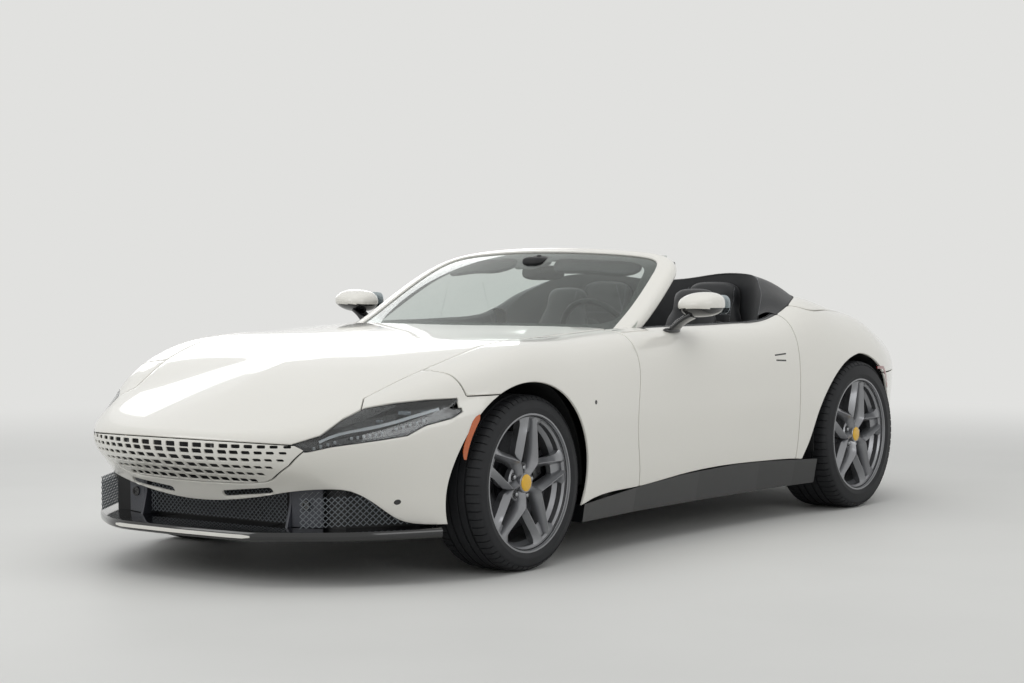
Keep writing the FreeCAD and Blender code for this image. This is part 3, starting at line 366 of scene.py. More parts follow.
def seen_directly(tree):
    """Socket that is 1 for camera, glossy and transmission rays."""
    ray = add_node(tree, "ShaderNodeLightPath")
    result = ray.outputs["Is Camera Ray"]
    for name in ("Is Glossy Ray", "Is Transmission Ray"):
        either = add_node(
            tree, "ShaderNodeMath", {"operation": "MAXIMUM"}, {0: result, 1: ray.outputs[name]}
        )
        result = either.outputs[0]
    return result


def studio_floor():
    # Pale cast resin floor: matt, with soft mottling over half a metre, that fades into the backdrop.
    material, tree, place = new_finish("studio_floor")
    mottle = add_node(tree, "ShaderNodeTexNoise", inputs={"Vector": place, "Scale": 1.5, "Detail": 3.0})
    pale = bpy.context.scene.convertible_colours.floor
    shader = add_node(
        tree,
        "ShaderNodeBsdfPrincipled",
        inputs={"Base Color": tint(tree, mottle.outputs["Fac"], "#D3D3D0", pale), "Roughness": 0.6},
    )
    far = add_node(tree, "ShaderNodeVectorMath", {"operation": "LENGTH"}, {0: place})
    fade = add_node(
        tree,
        "ShaderNodeMapRange",
        {"interpolation_type": "SMOOTHSTEP"},
        {"Value": far.outputs["Value"], "From Min": FLOOR_FADE[0], "From Max": FLOOR_FADE[1]},
    )
    share = add_node(
        tree, "ShaderNodeMath", {"operation": "MULTIPLY"}, {0: fade.outputs[0], 1: seen_directly(tree)}
    )
    backdrop = add_node(tree, "ShaderNodeEmission", inputs={"Color": to_linear(BACKDROP), "Strength": 1.0})
    mix = add_node(
        tree, "ShaderNodeMixShader", inputs={
            0: share.outputs[0], 1: shader.outputs[0], 2: backdrop.outputs[0]
        }
    )
    close_finish(tree, mix)
    return material


FINISH_MAKERS = {
    maker.__name__: maker
    for maker in (
        pearl_paint, grained_plastic, gloss_black, windscreen_glass, lens_polycarbonate, mirror_silver,
        painted_alloy, cap_enamel, tyre_rubber, brake_iron, lug_steel, lamp_silver, lamp_glass,
        led_white, lamp_red, lamp_amber, net_wire, fin_grey, grained_leather, stitch_thread,
        satin_metal, satin_black, tufted_carpet, pressed_liner, moulded_felt, cast_alloy, exhaust_steel,
        studio_floor
    )
}


# Body surface

# Half sections fan out from the centre plane: each starts there at x = root and is widest at its
# tip. top: height on the centre plane, slope: of the top there. The crest lies crest_in inside the
# tip at crest_z, the widest point at belt_z, the sill's upper and lower ends sill_in and foot_in
# inside the tip.
#   root, tip_x, tip_y, top, slope, crest_in, crest_z, belt_z, sill_in, sill_z, foot_in
SECTIONS = [
    (1.65, 2.328, 0, 0.798, -0.24, 0.024, 0.567, 0.525, 0.165, 0.345, 0.25),
    (1.645, 2.309, 0.218, 0.799, -0.23, 0.026, 0.567, 0.522, 0.16, 0.345, 0.245),
    (1.62, 2.193, 0.518, 0.804, -0.16, 0.055, 0.59, 0.518, 0.12, 0.338, 0.2),
    (1.585, 2.06, 0.65, 0.811, -0.12, 0.08, 0.632, 0.52, 0.08, 0.33, 0.14),
    (1.545, 1.93, 0.745, 0.818, -0.085, 0.09, 0.678, 0.525, 0.052, 0.325, 0.1),
    (1.5, 1.76, 0.855, 0.827, -0.05, 0.095, 0.738, 0.535, 0.032, 0.32, 0.066),
    (1.44, 1.56, 0.935, 0.838, -0.02, 0.097, 0.795, 0.55, 0.022, 0.32, 0.048),
    (1.305, 1.305, 0.975, 0.858, 0, 0.1, 0.85, 0.56, 0.01, 0.32, 0.035),
    (0.94, 0.94, 0.968, 0.893, 0, 0.105, 0.866, 0.57, 0.015, 0.33, 0.045),
    (0.505, 0.505, 0.938, 0.918, 0, 0.095, 0.886, 0.59, 0.015, 0.34, 0.05),
    (0, 0, 0.932, 0.93, 0, 0.085, 0.893, 0.6, 0.012, 0.36, 0.05),
    (-0.5, -0.5, 0.945, 0.935, 0, 0.085, 0.898, 0.6, 0.014, 0.36, 0.05),
    (-0.8, -0.8, 0.962, 0.985, 0, 0.11, 0.935, 0.6, 0.014, 0.345, 0.05),
    (-1, -1, 0.975, 1.052, 0, 0.15, 0.997, 0.6, 0.012, 0.33, 0.045),
    (-1.365, -1.365, 0.985, 1.008, 0, 0.17, 0.952, 0.61, 0.01, 0.32, 0.04),
    (-1.56, -1.66, 0.962, 0.97, 0, 0.17, 0.908, 0.62, 0.015, 0.32, 0.05),
    (-1.64, -1.9, 0.88, 0.95, -0.03, 0.15, 0.85, 0.64, 0.025, 0.33, 0.065),
    (-1.69, -2.09, 0.775, 0.94, -0.05, 0.11, 0.832, 0.655, 0.035, 0.34, 0.08),
    (-1.73, -2.24, 0.59, 0.93, -0.06, 0.08, 0.848, 0.67, 0.045, 0.35, 0.09),
    (-1.76, -2.312, 0.29, 0.922, -0.07, 0.05, 0.864, 0.69, 0.05, 0.35, 0.1),
    (-1.765, -2.328, 0, 0.92, -0.07, 0.04, 0.868, 0.7, 0.052, 0.35, 0.105),
]
BODY_FLOOR = 0.15
ROOT_WEIGHT = 0.25
CREST_TURN = 0.32
CREST_HANDLE = 0.9
BELT_HANDLE = 1.15


def spline(knots, values, at):
    """Natural cubic spline through rows of values."""
    count = len(knots)
    step = np.diff(knots)
    matrix = np.zeros((count, count))
    right = np.zeros((count, values.shape[1]))
    matrix[0, 0] = matrix[-1, -1] = 1
    for i in range(1, count - 1):
        matrix[i, i - 1 : i + 2] = step[i - 1], 2 * (step[i - 1] + step[i]), step[i]
        right[i] = 6 * ((values[i + 1] - values[i]) / step[i] - (values[i] - values[i - 1]) / step[i - 1])
    bend = np.linalg.solve(matrix, right)
    i = np.clip(np.searchsorted(knots, at) - 1, 0, count - 2)
    after = (at - knots[i])[:, None]
    before = (knots[i + 1] - at)[:, None]
    h = step[i][:, None]
    curve = (bend[i] * before**3 + bend[i + 1] * after**3) / (6 * h)
    near, far = (values[k] / h - bend[k] * h / 6 for k in (i, i + 1))
    return curve + near * before + far * after


ROWS = np.array(SECTIONS)
ROW_STEPS = np.hypot(np.diff(ROWS[:, 1]), np.diff(ROWS[:, 2])) + ROOT_WEIGHT * np.abs(np.diff(ROWS[:, 0]))
ROW_KNOTS = np.concatenate([[0], np.cumsum(ROW_STEPS)])
MIRROR_ROWS = ROWS * np.where(np.arange(11) == 2, -1, 1)
LONG_ROWS = np.vstack([MIRROR_ROWS[3:0:-1], ROWS, MIRROR_ROWS[-2:-5:-1]])
LONG_KNOTS = np.concatenate([-ROW_KNOTS[3:0:-1], ROW_KNOTS, 2 * ROW_KNOTS[-1] - ROW_KNOTS[-2:-5:-1]])


def pair(a, b):
    """Rows of two columns."""
    return np.stack([a, b], -1)


def body_point(uv):
    """Point of the left half: u 0 to 1 from nose to tail, v 0 to 4 over middle, crest, belt, sill, foot."""
    rows = spline(LONG_KNOTS, LONG_ROWS, uv[:, 0] * ROW_KNOTS[-1])
    root, tip_x, tip_y, top, slope, crest_in, crest_z, belt_z, sill_in, sill_z, foot_in = rows.T
    reach = np.hypot(tip_x - root, tip_y)
    none = 0 * reach
    knots = np.stack(
        [
            pair(none, top),
            pair(reach - crest_in, crest_z),
            pair(reach, belt_z),
            pair(reach - sill_in, sill_z),
            pair(reach - foot_in, none + BODY_FLOOR),
        ]
    )
    chord = np.diff(knots, axis=0)
    length = np.hypot(chord[..., 0], chord[..., 1])
    angle = np.arctan2(chord[..., 1], chord[..., 0])
    level = np.hypot(1, slope)
    crest = angle[0] + CREST_TURN * (angle[1] - angle[0])
    sill = (angle[2] + angle[3]) / 2
    tangent = [
        pair(1 / level, slope / level),
        pair(np.cos(crest), np.sin(crest)),
        pair(none, none - 1),
        pair(np.cos(sill), np.sin(sill)),
        pair(np.cos(angle[3]), np.sin(angle[3])),
    ]
    v = np.clip(uv[:, 1], 0, 4)
    span = np.minimum(v.astype(int), 3)
    flat = np.zeros((len(uv), 2))
    for k in range(4):
        at = span == k
        s = (v[at] - k)[:, None]
        start_handle = end_handle = length[k][at][:, None]
        if k == 0:
            end_handle = np.minimum(end_handle, CREST_HANDLE * length[1][at][:, None])
        if k == 1:
            end_handle = BELT_HANDLE * end_handle
        flat[at] = (
            (2 * s**3 - 3 * s**2 + 1) * knots[k][at]
            + (s**3 - 2 * s**2 + s) * tangent[k][at] * start_handle
            + (3 * s**2 - 2 * s**3) * knots[k + 1][at]
            + (s**3 - s**2) * tangent[k + 1][at] * end_handle
        )
    out, height = flat.T
    return np.stack([root + (tip_x - root) / reach * out, tip_y / reach * out, height], -1)


def surface_normal(surface, uv, low, high):
    """Unit normals by finite differences, kept inside the parameter range."""
    step = np.array([2e-4, 2e-3])
    centre = np.clip(uv, np.array(low) + step * 1.5, np.array(high) - step * 1.5)
    du = surface(centre + [step[0], 0]) - surface(centre - [step[0], 0])
    dv = surface(centre + [0, step[1]]) - surface(centre - [0, step[1]])
    normal = np.cross(dv, du)
    return normal / np.maximum(np.linalg.norm(normal, axis=1, keepdims=True), 1e-12)


# Outlines and trimming

TOUCH = 1e-5
SNAP = 2e-4
CUT_STEPS = 7
CHUNK = 20000
NO_NORMAL = (0.0, 0.0, 0.0)
PLAN = np.array([[1, 0, 0], [0, 1, 0]])
SIDE = np.array([[1, 0, 0], [0, 0, 1]])
FRONT = np.array([[0, 1, 0], [0, 0, 1]])
LAMP_VIEW = math.radians(36)
QUARTER = np.array([[-math.sin(LAMP_VIEW), math.cos(LAMP_VIEW), 0], [0, 0, 1]])


def smooth(points, steps=6):
    """Points along a natural spline through the given ones."""
    rows = np.array(points, float)
    knots = np.concatenate([[0], np.cumsum(np.linalg.norm(np.diff(rows, axis=0), axis=1))])
    at = np.unique(np.concatenate([np.linspace(a, b, steps + 1) for a, b in zip(knots, knots[1:])]))
    return [tuple(p) for p in spline(knots, rows, at)]


def seen_in(view, measure):
    """Field of a measure on points seen in a view, taken in parts to save memory."""

    def field(points):
        flat = points @ view.T
        result = np.empty(len(flat))
        for start in range(0, len(flat), CHUNK):
            result[start : start + CHUNK] = measure(flat[start : start + CHUNK, None])
        return result

    return field


def inside(outline, view):
    """Signed distance to a closed outline seen in a view, positive inside."""
    corners = np.array(outline, float)
    ends = np.roll(corners, -1, axis=0)
    run = ends - corners
    long = np.maximum((run**2).sum(1), 1e-12)
    rise = np.where(np.abs(run[:, 1]) < 1e-12, 1e-12, run[:, 1])

    def measure(part):
        rel = part - corners
        t = np.clip((rel * run).sum(2) / long, 0, 1)
        away = np.sqrt(((rel - t[..., None] * run) ** 2).sum(2)).min(1)
        over = (corners[:, 1] > part[..., 1]) != (ends[:, 1] > part[..., 1])
        cross = corners[:, 0] + (part[..., 1] - corners[:, 1]) * run[:, 0] / rise
        odd = (over & (part[..., 0] < cross)).sum(1) % 2 == 1
        return np.where(odd, away, -away)

    return seen_in(view, measure)


def outside(*fields):
    """Positive where a point is outside the region that all the given fields share."""
    return lambda points: -np.min([f(points) for f in fields], axis=0)


def both(*fields):
    """Positive where all the given fields are."""
    return lambda points: np.min([f(points) for f in fields], axis=0)


def arch(centre, radius):
    """Positive outside a wheel arch, in side view."""
    return lambda points: np.hypot(points[:, 0] - centre[0], points[:, 2] - centre[1]) - radius


def grid(surface, low, high, counts):
    """Patch of quads over a rectangle of the surface's parameters."""
    us = np.linspace(low[0], high[0], counts[0] + 1)
    vs = np.linspace(low[1], high[1], counts[1] + 1)
    uv = np.stack(np.meshgrid(us, vs, indexing="ij"), -1).reshape(-1, 2)
    index = np.arange(len(uv)).reshape(len(us), len(vs))
    quads = np.stack([index[:-1, :-1], index[1:, :-1], index[1:, 1:], index[:-1, 1:]], -1).reshape(-1, 4)
    return {"surface": surface, "uv": uv, "faces": quads.tolist(), "trims": [], "low": low, "high": high}


def cut(patch, field, level=0.0, keep_both=False):
    """Cuts faces where the field crosses a level, and drops what lies below unless both are kept."""
    surface = patch["surface"]
    uv = patch["uv"]
    height = field(surface(uv)) - level
    height[np.abs(height) < SNAP] = 0
    sign = np.sign(height)
    kept, mixed = [], []
    for face in patch["faces"]:
        signs = sign[face]
        if signs.min() >= 0:
            if signs.max() > 0:
                kept.append(face)
        elif signs.max() > 0:
            mixed.append(face)
        elif keep_both:
            kept.append(face)
    edges = {}
    for face in mixed:
        for a, b in zip(face, face[1:] + face[:1]):
            if sign[a] * sign[b] < 0:
                edges.setdefault((min(a, b), max(a, b)), len(edges))
    if edges:
        ends = np.array(list(edges))
        start, run = uv[ends[:, 0]], uv[ends[:, 1]] - uv[ends[:, 0]]
        low, high = np.zeros(len(ends)), np.ones(len(ends))
        f_low, f_high = height[ends[:, 0]], height[ends[:, 1]]
        for _ in range(CUT_STEPS):
            t = low - f_low * (high - low) / (f_high - f_low)
            f_t = field(surface(start + run * t[:, None])) - level
            same = np.sign(f_t) == np.sign(f_low)
            f_high = np.where(same, f_high * 0.6, f_t)
            high = np.where(same, high, t)
            f_low = np.where(same, f_t, f_low * 0.6)
            low = np.where(same, t, low)
            f_low = np.where(f_low == 0, 1e-15, f_low)
        fresh = start + run * t[:, None]
    offset = len(uv)
    for face in mixed:
        over, under = [], []
        for a, b in zip(face, face[1:] + face[:1]):
            if sign[a] >= 0:
                over.append(a)
            if sign[a] <= 0:
                under.append(a)
            if sign[a] * sign[b] < 0:
                crossing = offset + edges[(min(a, b), max(a, b))]
                over.append(crossing)
                under.append(crossing)
        if len(over) > 2:
            kept.append(over)
        if keep_both and len(under) > 2:
            kept.append(under)
    if edges:
        uv = np.vstack([uv, fresh])
    trims = patch["trims"] + ([] if keep_both else [field])
    return {**patch, "uv": uv, "faces": kept, "trims": trims}


def rolled(patch, radius):
    """Adds two lines of points beside every trimmed edge, for its roll."""
    edge = both(*patch["trims"])
    for level in (radius * 0.4, radius * 1.3):
        patch = cut(patch, edge, level, keep_both=True)
    return patch


def shell(patch, wall, radius, depth=0.0, back=None):
    """Panel with thickness from a trimmed patch: vertices, faces, and a normal or zeros per corner.

    It starts at a depth under the surface and is a wall thick, or reaches back along a vector.
    """
    if radius > 0:
        patch = rolled(patch, radius)
    used = np.unique(np.concatenate([np.array(f) for f in patch["faces"]]))
    renumber = np.full(len(patch["uv"]), -1)
    renumber[used] = np.arange(len(used))
    uv = patch["uv"][used]
    faces = [renumber[f].tolist() for f in patch["faces"]]
    points = patch["surface"](uv)
    normals = surface_normal(patch["surface"], uv, patch["low"], patch["high"])
    on_middle = np.abs(points[:, 1]) < TOUCH
    normals[on_middle, 1] = 0
    points = points - normals * depth
    inner = points - normals * wall if back is None else points + np.array(back)
    unrolled = np.ones(len(points), bool)
    if radius > 0:
        near = np.clip(both(*patch["trims"])(points + normals * depth), 0, None)
        drop = radius - np.sqrt(radius**2 - np.clip(radius - near, 0, radius) ** 2)
        points = points - normals * drop[:, None]
        unrolled = near > radius * 1.4
    count = len(points)
    seen = dict.fromkeys((a, b) for face in faces for a, b in zip(face, face[1:] + face[:1]))
    rim = [(a, b) for a, b in seen if (b, a) not in seen and not (on_middle[a] and on_middle[b])]
    all_faces = [face[::-1] for face in faces]
    all_faces += [[count + i for i in face] for face in faces]
    all_faces += [[a, b, count + b, count + a] for a, b in rim]
    corner_normals = []
    for face in all_faces[: len(faces)]:
        smooth_face = all(unrolled[i] for i in face)
        corner_normals += [normals[i] if smooth_face else NO_NORMAL for i in face]
    corner_normals += [NO_NORMAL] * sum(len(face) for face in all_faces[len(faces) :])
    return np.vstack([points, inner]), all_faces, np.array(corner_normals)


def mirrored(data):
    """The same piece on the other side of the car."""
    points, faces, normals = data
    flip = np.array([1, -1, 1])
    turned = []
    start = 0
    for face in faces:
        turned.append(normals[start : start + len(face)][::-1] * flip)
        start += len(face)
    return points * flip, [face[::-1] for face in faces], np.vstack(turned)


def joined(*parts):
    """Several pieces in one, with points on the centre plane shared."""
    points, faces, normals = [], [], []
    middle = {}
    for part_points, part_faces, part_normals in parts:
        place = []
        for point in part_points:
            key = tuple(np.round(point, 6)) if abs(point[1]) < TOUCH else None
            if key is not None and key in middle:
                place.append(middle[key])
                continue
            if key is not None:
                middle[key] = len(points)
            place.append(len(points))
            points.append(point)
        faces += [[place[i] for i in face] for face in part_faces]
        normals.append(part_normals)
    return np.array(points), faces, np.vstack(normals)


SHARP_ANGLE = math.radians(38)


def new_mesh(name, points, faces=(), edges=()):
    """Mesh from rows of points."""
    mesh = bpy.data.meshes.new(name)
    mesh.from_pydata([tuple(p) for p in points], list(edges), list(faces))
    return mesh


def new_object(name, mesh):
    """Object of that mesh, light or camera, linked to the scene."""
    item = bpy.data.objects.new(name, mesh)
    bpy.context.scene.collection.objects.link(item)
    return item


def evaluated(item):
    """New mesh of an object with its modifiers applied, which then come off."""
    depsgraph = bpy.context.evaluated_depsgraph_get()
    result = bpy.data.meshes.new_from_object(item.evaluated_get(depsgraph))
    item.modifiers.clear()
    return result


def plain(mesh):
    """Vertices and faces of a mesh, which is then removed."""
    points = np.array([tuple(v.co) for v in mesh.vertices])
    faces = [list(f.vertices) for f in mesh.polygons]
    bpy.data.meshes.remove(mesh)
    return points, faces


def shade(mesh):
    """Smooth shading up to the angle of a real edge."""
    mesh.shade_smooth()
    mesh.set_sharp_from_angle(angle=SHARP_ANGLE)


def outward(data):
    """Same mesh with its faces turned to point outwards, for closed solids."""
    mesh = new_mesh("solid", data[0], data[1])
    solid = bmesh.new()
    solid.from_mesh(mesh)
    bmesh.ops.recalc_face_normals(solid, faces=solid.faces)
    faces = [[v.index for v in f.verts] for f in solid.faces]
    solid.free()
    bpy.data.meshes.remove(mesh)
    return data[0], faces


def make_piece(name, data, material, body, slot=None, replaces=()):
    """Mesh object from vertices and faces, riding on a body; data without normals is turned outwards."""
    points, faces = data[:2] if len(data) > 2 else outward(data)
    mesh = new_mesh(name, points, faces)
    mesh.update()
    shade(mesh)
    if len(data) > 2 and len(data[2]) == len(mesh.loops):
        mesh.normals_split_custom_set(data[2])
    return dress(new_object(name, mesh), material, body, slot, replaces)


def dress(piece, material, body, slot=None, replaces=()):
    """Gives a piece its finish and its place in the frame."""
    piece.data.materials.clear()
    piece.data.materials.append(finish(material))
    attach(piece, body)
    if replaces:
        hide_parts(*replaces)
    return piece


# Body panels

FRONT_ARCH = (1.32, 0.34)
REAR_ARCH = (-1.365, 0.354)
ARCH_RADIUS = 0.388
FAR = 4.0
BONNET_REAR = smooth([(0.575, -0.2), (0.575, 0), (0.562, 0.25), (0.53, 0.5), (0.475, 0.725)])
BONNET_SIDE = smooth([(0.48, 0.733), (0.8, 0.73), (1.41, 0.722), (1.57, 0.7), (1.71, 0.66), (1.89, 0.602)])
BONNET_LAMP = [(1.95, 0.64), (2.03, 0.63), (2.12, 0.6), (2.2, 0.53), (FAR, 0.5), (FAR, -0.2)]
BONNET_PLAN = BONNET_REAR + BONNET_SIDE + BONNET_LAMP
BONNET_HOLE_PLAN = [(0.2, -0.2), (0.2, 0.742), (0.47, 0.742)] + BONNET_SIDE[1:] + BONNET_LAMP
CHIN_SLOT = (0.2465, 0.335)
PIPES = ((0.455, 0.27), (0.56, 0.27))
PIPE_HOLE = 0.044
BONNET_EDGE = smooth([(-0.2, 0.54), (0, 0.541), (0.25, 0.538), (0.45, 0.531), (0.53, 0.526), (0.8, 0.515)])
BONNET_FRONT = BONNET_EDGE + [(0.8, FAR), (-0.2, FAR)]
BUMPER_SIDE = [(1.36, -1), (FAR, -1), (FAR, 2), (1.7, 2), (1.635, 0.69), (1.36, 0.69)]
PAINT_EDGE = smooth(
    [
        (0.99, 0.205), (0.935, 0.222), (0.5, 0.253), (0.15, 0.276), (-0.28, 0.287), (-0.57, 0.281),
        (-0.85, 0.268), (-0.99, 0.25)
    ]
)
SILL = PAINT_EDGE + [(-1.3, 0.25), (-1.3, -1), (1.3, -1), (1.3, 0.15)]
LAMP_OUTLINE = [
    (-0.869, 0.529), (-0.768, 0.560), (-0.692, 0.616), (-0.617, 0.653), (-0.507, 0.670),
    (-0.388, 0.680), (-0.259, 0.683), (-0.300, 0.649), (-0.241, 0.644), (-0.292, 0.612),
    (-0.390, 0.589), (-0.457, 0.553), (-0.550, 0.540), (-0.725, 0.520), (-0.823, 0.499),
]
GRILLE_FRONT = [(-0.2, 0.6), (0.524, 0.6), (0.524, 0.528), (0.554, 0.507), (0.491, 0.449), (0.394, 0.392)]
GRILLE_FRONT += smooth([(0.36, 0.381), (0.3, 0.374), (0.15, 0.368), (0, 0.366), (-0.2, 0.368)])
CHIN_EDGE = smooth(
    [
        (-0.2, 0.294), (0, 0.29), (0.078, 0.292), (0.203, 0.304), (0.342, 0.325), (0.429, 0.341),
        (0.501, 0.35), (0.56, 0.353), (0.617, 0.346), (0.66, 0.315), (0.708, 0.255), (0.735, 0.23),
        (0.775, 0.216), (0.86, 0.21), (1.0, 0.208)
    ]
)
CHIN_BELOW = CHIN_EDGE + [(1.0, -1), (-0.2, -1)]
DOOR_FRONT = smooth(
    [
        (0.512, 0.99), (0.512, 0.849), (0.512, 0.748), (0.522, 0.674), (0.533, 0.468), (0.497, 0.313),
        (0.485, 0.24)
    ]
)
DOOR_REAR_X = -0.8
CABIN_EDGE = [(0.50, 0.824), (0.285, 0.824), (0.27, 0.79)]
CABIN_EDGE += smooth(
    [
        (0.2, 0.788), (0, 0.792), (-0.24, 0.8), (-0.41, 0.806), (-0.51, 0.822), (-0.63, 0.833),
        (-0.76, 0.831), (-0.84, 0.828), (-0.915, 0.822), (-1.0, 0.8), (-1.086, 0.755), (-1.135, 0.66),
        (-1.155, 0.45), (-1.16, 0.2), (-1.16, -0.2)
    ]
)
CABIN_PLAN = [(0.5, -0.2)] + CABIN_EDGE
REAR_ARCH_FRONT = smooth(
    [
        (-0.835, 0.14), (-0.857, 0.272), (-0.891, 0.335), (-0.954, 0.466), (-1.037, 0.578),
        (-1.157, 0.676), (-1.284, 0.727), (-1.365, 0.742)
    ]
)
DECK_PLAN = [(-0.9, 0.3)] + smooth(
    [
        (-0.915, 0.818), (-0.955, 0.852), (-1.003, 0.877), (-1.076, 0.884), (-1.207, 0.865),
        (-1.354, 0.832), (-1.55, 0.77), (-1.68, 0.7), (-1.74, 0.645)
    ]
) + [(-1.743, 0.6), (-1.743, -0.2), (-0.9, -0.2)]
BOOT_PLAN = [(-1.743, -0.2), (-1.743, 0.6)] + smooth(
    [(-1.745, 0.605), (-1.96, 0.56), (-2.15, 0.48), (-2.24, 0.33), (-2.27, 0.2)]
) + [(-FAR, 0.2), (-FAR, -0.2)]
BOOT_SIDE = [(FAR, 0.803), (FAR, 3), (-FAR, 3), (-FAR, 0.803)]
TAIL_SIDE = [(-FAR, -1), (-FAR, 2), (-2.0, 2), (-1.96, 0.64), (-1.5, 0.64), (-1.5, -1)]
TAIL_LAMP = [(0.25, 0.742), (0.6, 0.746), (0.83, 0.75), (0.83, 0.772), (0.6, 0.776), (0.25, 0.776)]


def arc_points(centre, radius, start, end, count=40):
    """Points round an arc, angles in degrees from +X towards +Z."""
    angles = np.radians(np.linspace(start, end, count))
    return [(centre[0] + radius * math.cos(a), centre[1] + radius * math.sin(a)) for a in angles]


REAR_OPENING = REAR_ARCH_FRONT + arc_points(REAR_ARCH, ARCH_RADIUS, 92, 215)
REAR_OPENING += [(-1.6, -0.5), (-0.835, -0.5)]
WINDOW_REACH = 0.012
WINDOW_MARGIN = np.array([0.004, 0.03])


def rounded_boxes(centres, halves, corner, view):
    """Signed distance to the nearest of many rounded rectangles seen in a view, positive outside."""
    centres, halves = np.array(centres), np.array(halves)

    def measure(part):
        reach = np.abs(part - centres) - halves + corner
        far = np.hypot(*np.moveaxis(np.clip(reach, 0, None), -1, 0)) + np.clip(reach.max(2), None, 0)
        return (far - corner).min(1)

    return seen_in(view, measure)


def window(fields, step):
    """Grid over the part of the body's parameters where all the fields are positive."""
    us, vs = np.linspace(0, 1, 300), np.linspace(0, 4, 160)
    uv = np.stack(np.meshgrid(us, vs, indexing="ij"), -1).reshape(-1, 2)
    good = uv[both(*fields)(body_point(uv)) > -WINDOW_REACH]
    low = np.maximum(good.min(0) - WINDOW_MARGIN, [0, 0])
    high = np.minimum(good.max(0) + WINDOW_MARGIN, [1, 4])
    counts = []
    for axis in (0, 1):
        line = np.repeat((low + high)[None] / 2, 60, 0)
        line[:, axis] = low[axis] + (high[axis] - low[axis]) * np.linspace(0, 1, 60)
        if axis == 0:
            line[:, 1] = np.clip(good[:, 1].max(), 0, 3)
        span = np.linalg.norm(np.diff(body_point(line), axis=0), axis=1).sum()
        counts.append(max(4, int(span / step) + 1))
    return {**grid(body_point, low, high, counts), "low": (0, 0), "high": (1, 4)}


def trimmed(patch, fields, offset):
    """Patch cut along all fields, drawn back from each by an offset."""
    for field in fields:
        patch = cut(patch, lambda points, f=field: f(points) - offset)
    return patch


def panel(fields, step, wall, radius, offset=0.0, depth=0.0):
    """Shell of the body surface inside all fields, drawn back by half a gap."""
    return shell(trimmed(window(fields, step), fields, offset), wall, radius, depth)


def ahead(x):
    """Positive ahead of a place along the car."""
    return lambda points: points[:, 0] - x


def behind(x):
    """Positive behind a place along the car."""
    return lambda points: x - points[:, 0]


def outboard(y):
    """Positive to the left of a distance from the centre plane."""
    return lambda points: points[:, 1] - y


def above(z):
    """Positive over a height."""
    return lambda points: points[:, 2] - z


def body_regions():
    """Fields that bound each panel of the left half."""
    bonnet = [inside(BONNET_PLAN, PLAN), inside(BONNET_FRONT, FRONT)]
    bonnet_hole = outside(inside(BONNET_HOLE_PLAN, PLAN), bonnet[1])
    nose = ahead(1.2)
    lamp = [inside(LAMP_OUTLINE, QUARTER), nose]
    grille = [inside(GRILLE_FRONT, FRONT), nose]
    chin = outside(inside(CHIN_BELOW, FRONT), ahead(1.5))
    bumper = inside(BUMPER_SIDE, SIDE)
    off_cabin = outside(inside(CABIN_PLAN, PLAN))
    deck = [inside(DECK_PLAN, PLAN), above(0.7)]
    boot = [inside(BOOT_PLAN, PLAN), inside(BOOT_SIDE, SIDE)]
    tail = inside(TAIL_SIDE, SIDE)
    tail_lamp = [inside(TAIL_LAMP, FRONT), behind(-1.8)]
    front_arch = arch(FRONT_ARCH, ARCH_RADIUS)
    rear_arch = outside(inside(REAR_OPENING, SIDE))
    door_front = inside(DOOR_FRONT + [(-FAR, 0.24), (-FAR, 0.99)], SIDE)
    off_sill = outside(inside(SILL, SIDE))
    level_slot = rounded_boxes([CHIN_SLOT], [(0.1175, 0.0095)], 0.009, FRONT)

    def chin_slot(points):
        drop = 0.1 * (points[:, 1] - CHIN_SLOT[0])
        return level_slot(points - np.outer(drop, [0, 0, 1]))

    def pipes(points):
        away = [np.hypot(points[:, 1] - y, points[:, 2] - z) for y, z in PIPES]
        return np.where(points[:, 0] < -1.9, np.min(away, axis=0) - PIPE_HOLE, 1.0)

    off_lamp, off_deck, off_boot = outside(*lamp), outside(*deck), outside(*boot)
    off_bumper, off_tail = outside(bumper), outside(tail)
    shoulder = [off_cabin, off_deck, off_boot, off_tail]
    return {
        "bonnet": [*bonnet, off_lamp],
        "front_bumper": [
            bumper, bonnet_hole, off_lamp, outside(*grille), chin, chin_slot, front_arch, above(0.2)
        ],
        "grille": [*grille, bonnet_hole],
        "front_fenders": [
            ahead(0.4), outside(door_front), bonnet_hole, off_bumper, off_lamp, front_arch, off_sill
        ],
        "door": [door_front, ahead(DOOR_REAR_X), off_cabin, off_sill, outboard(0.775)],
        "rear_quarters": [behind(DOOR_REAR_X), *shoulder, rear_arch, off_sill, above(0.2)],
        "rear_deck": [*deck, off_cabin],
        "boot_lid": boot,
        "rear_bumper": [tail, off_deck, off_boot, outside(*tail_lamp), pipes, rear_arch, above(0.228)],
        "tail_lamps": tail_lamp,
        "lamp": lamp,
        "pillar_foot": [behind(0.508), ahead(0.292), outboard(0.745), outside(outboard(0.82)), above(0.8)],
    }


def whole(half):
    """Panel across the centre plane, from its left half."""
    return joined(half, mirrored(half))


BODY_OF_PANEL = {
    "bonnet": "bonnet",
    "front_bumper": "chassis",
    "rear_deck": "chassis",
    "boot_lid": "boot_lid",
    "rear_bumper": "chassis",
    "front_fenders": "chassis",
    "rear_quarters": "chassis",
}


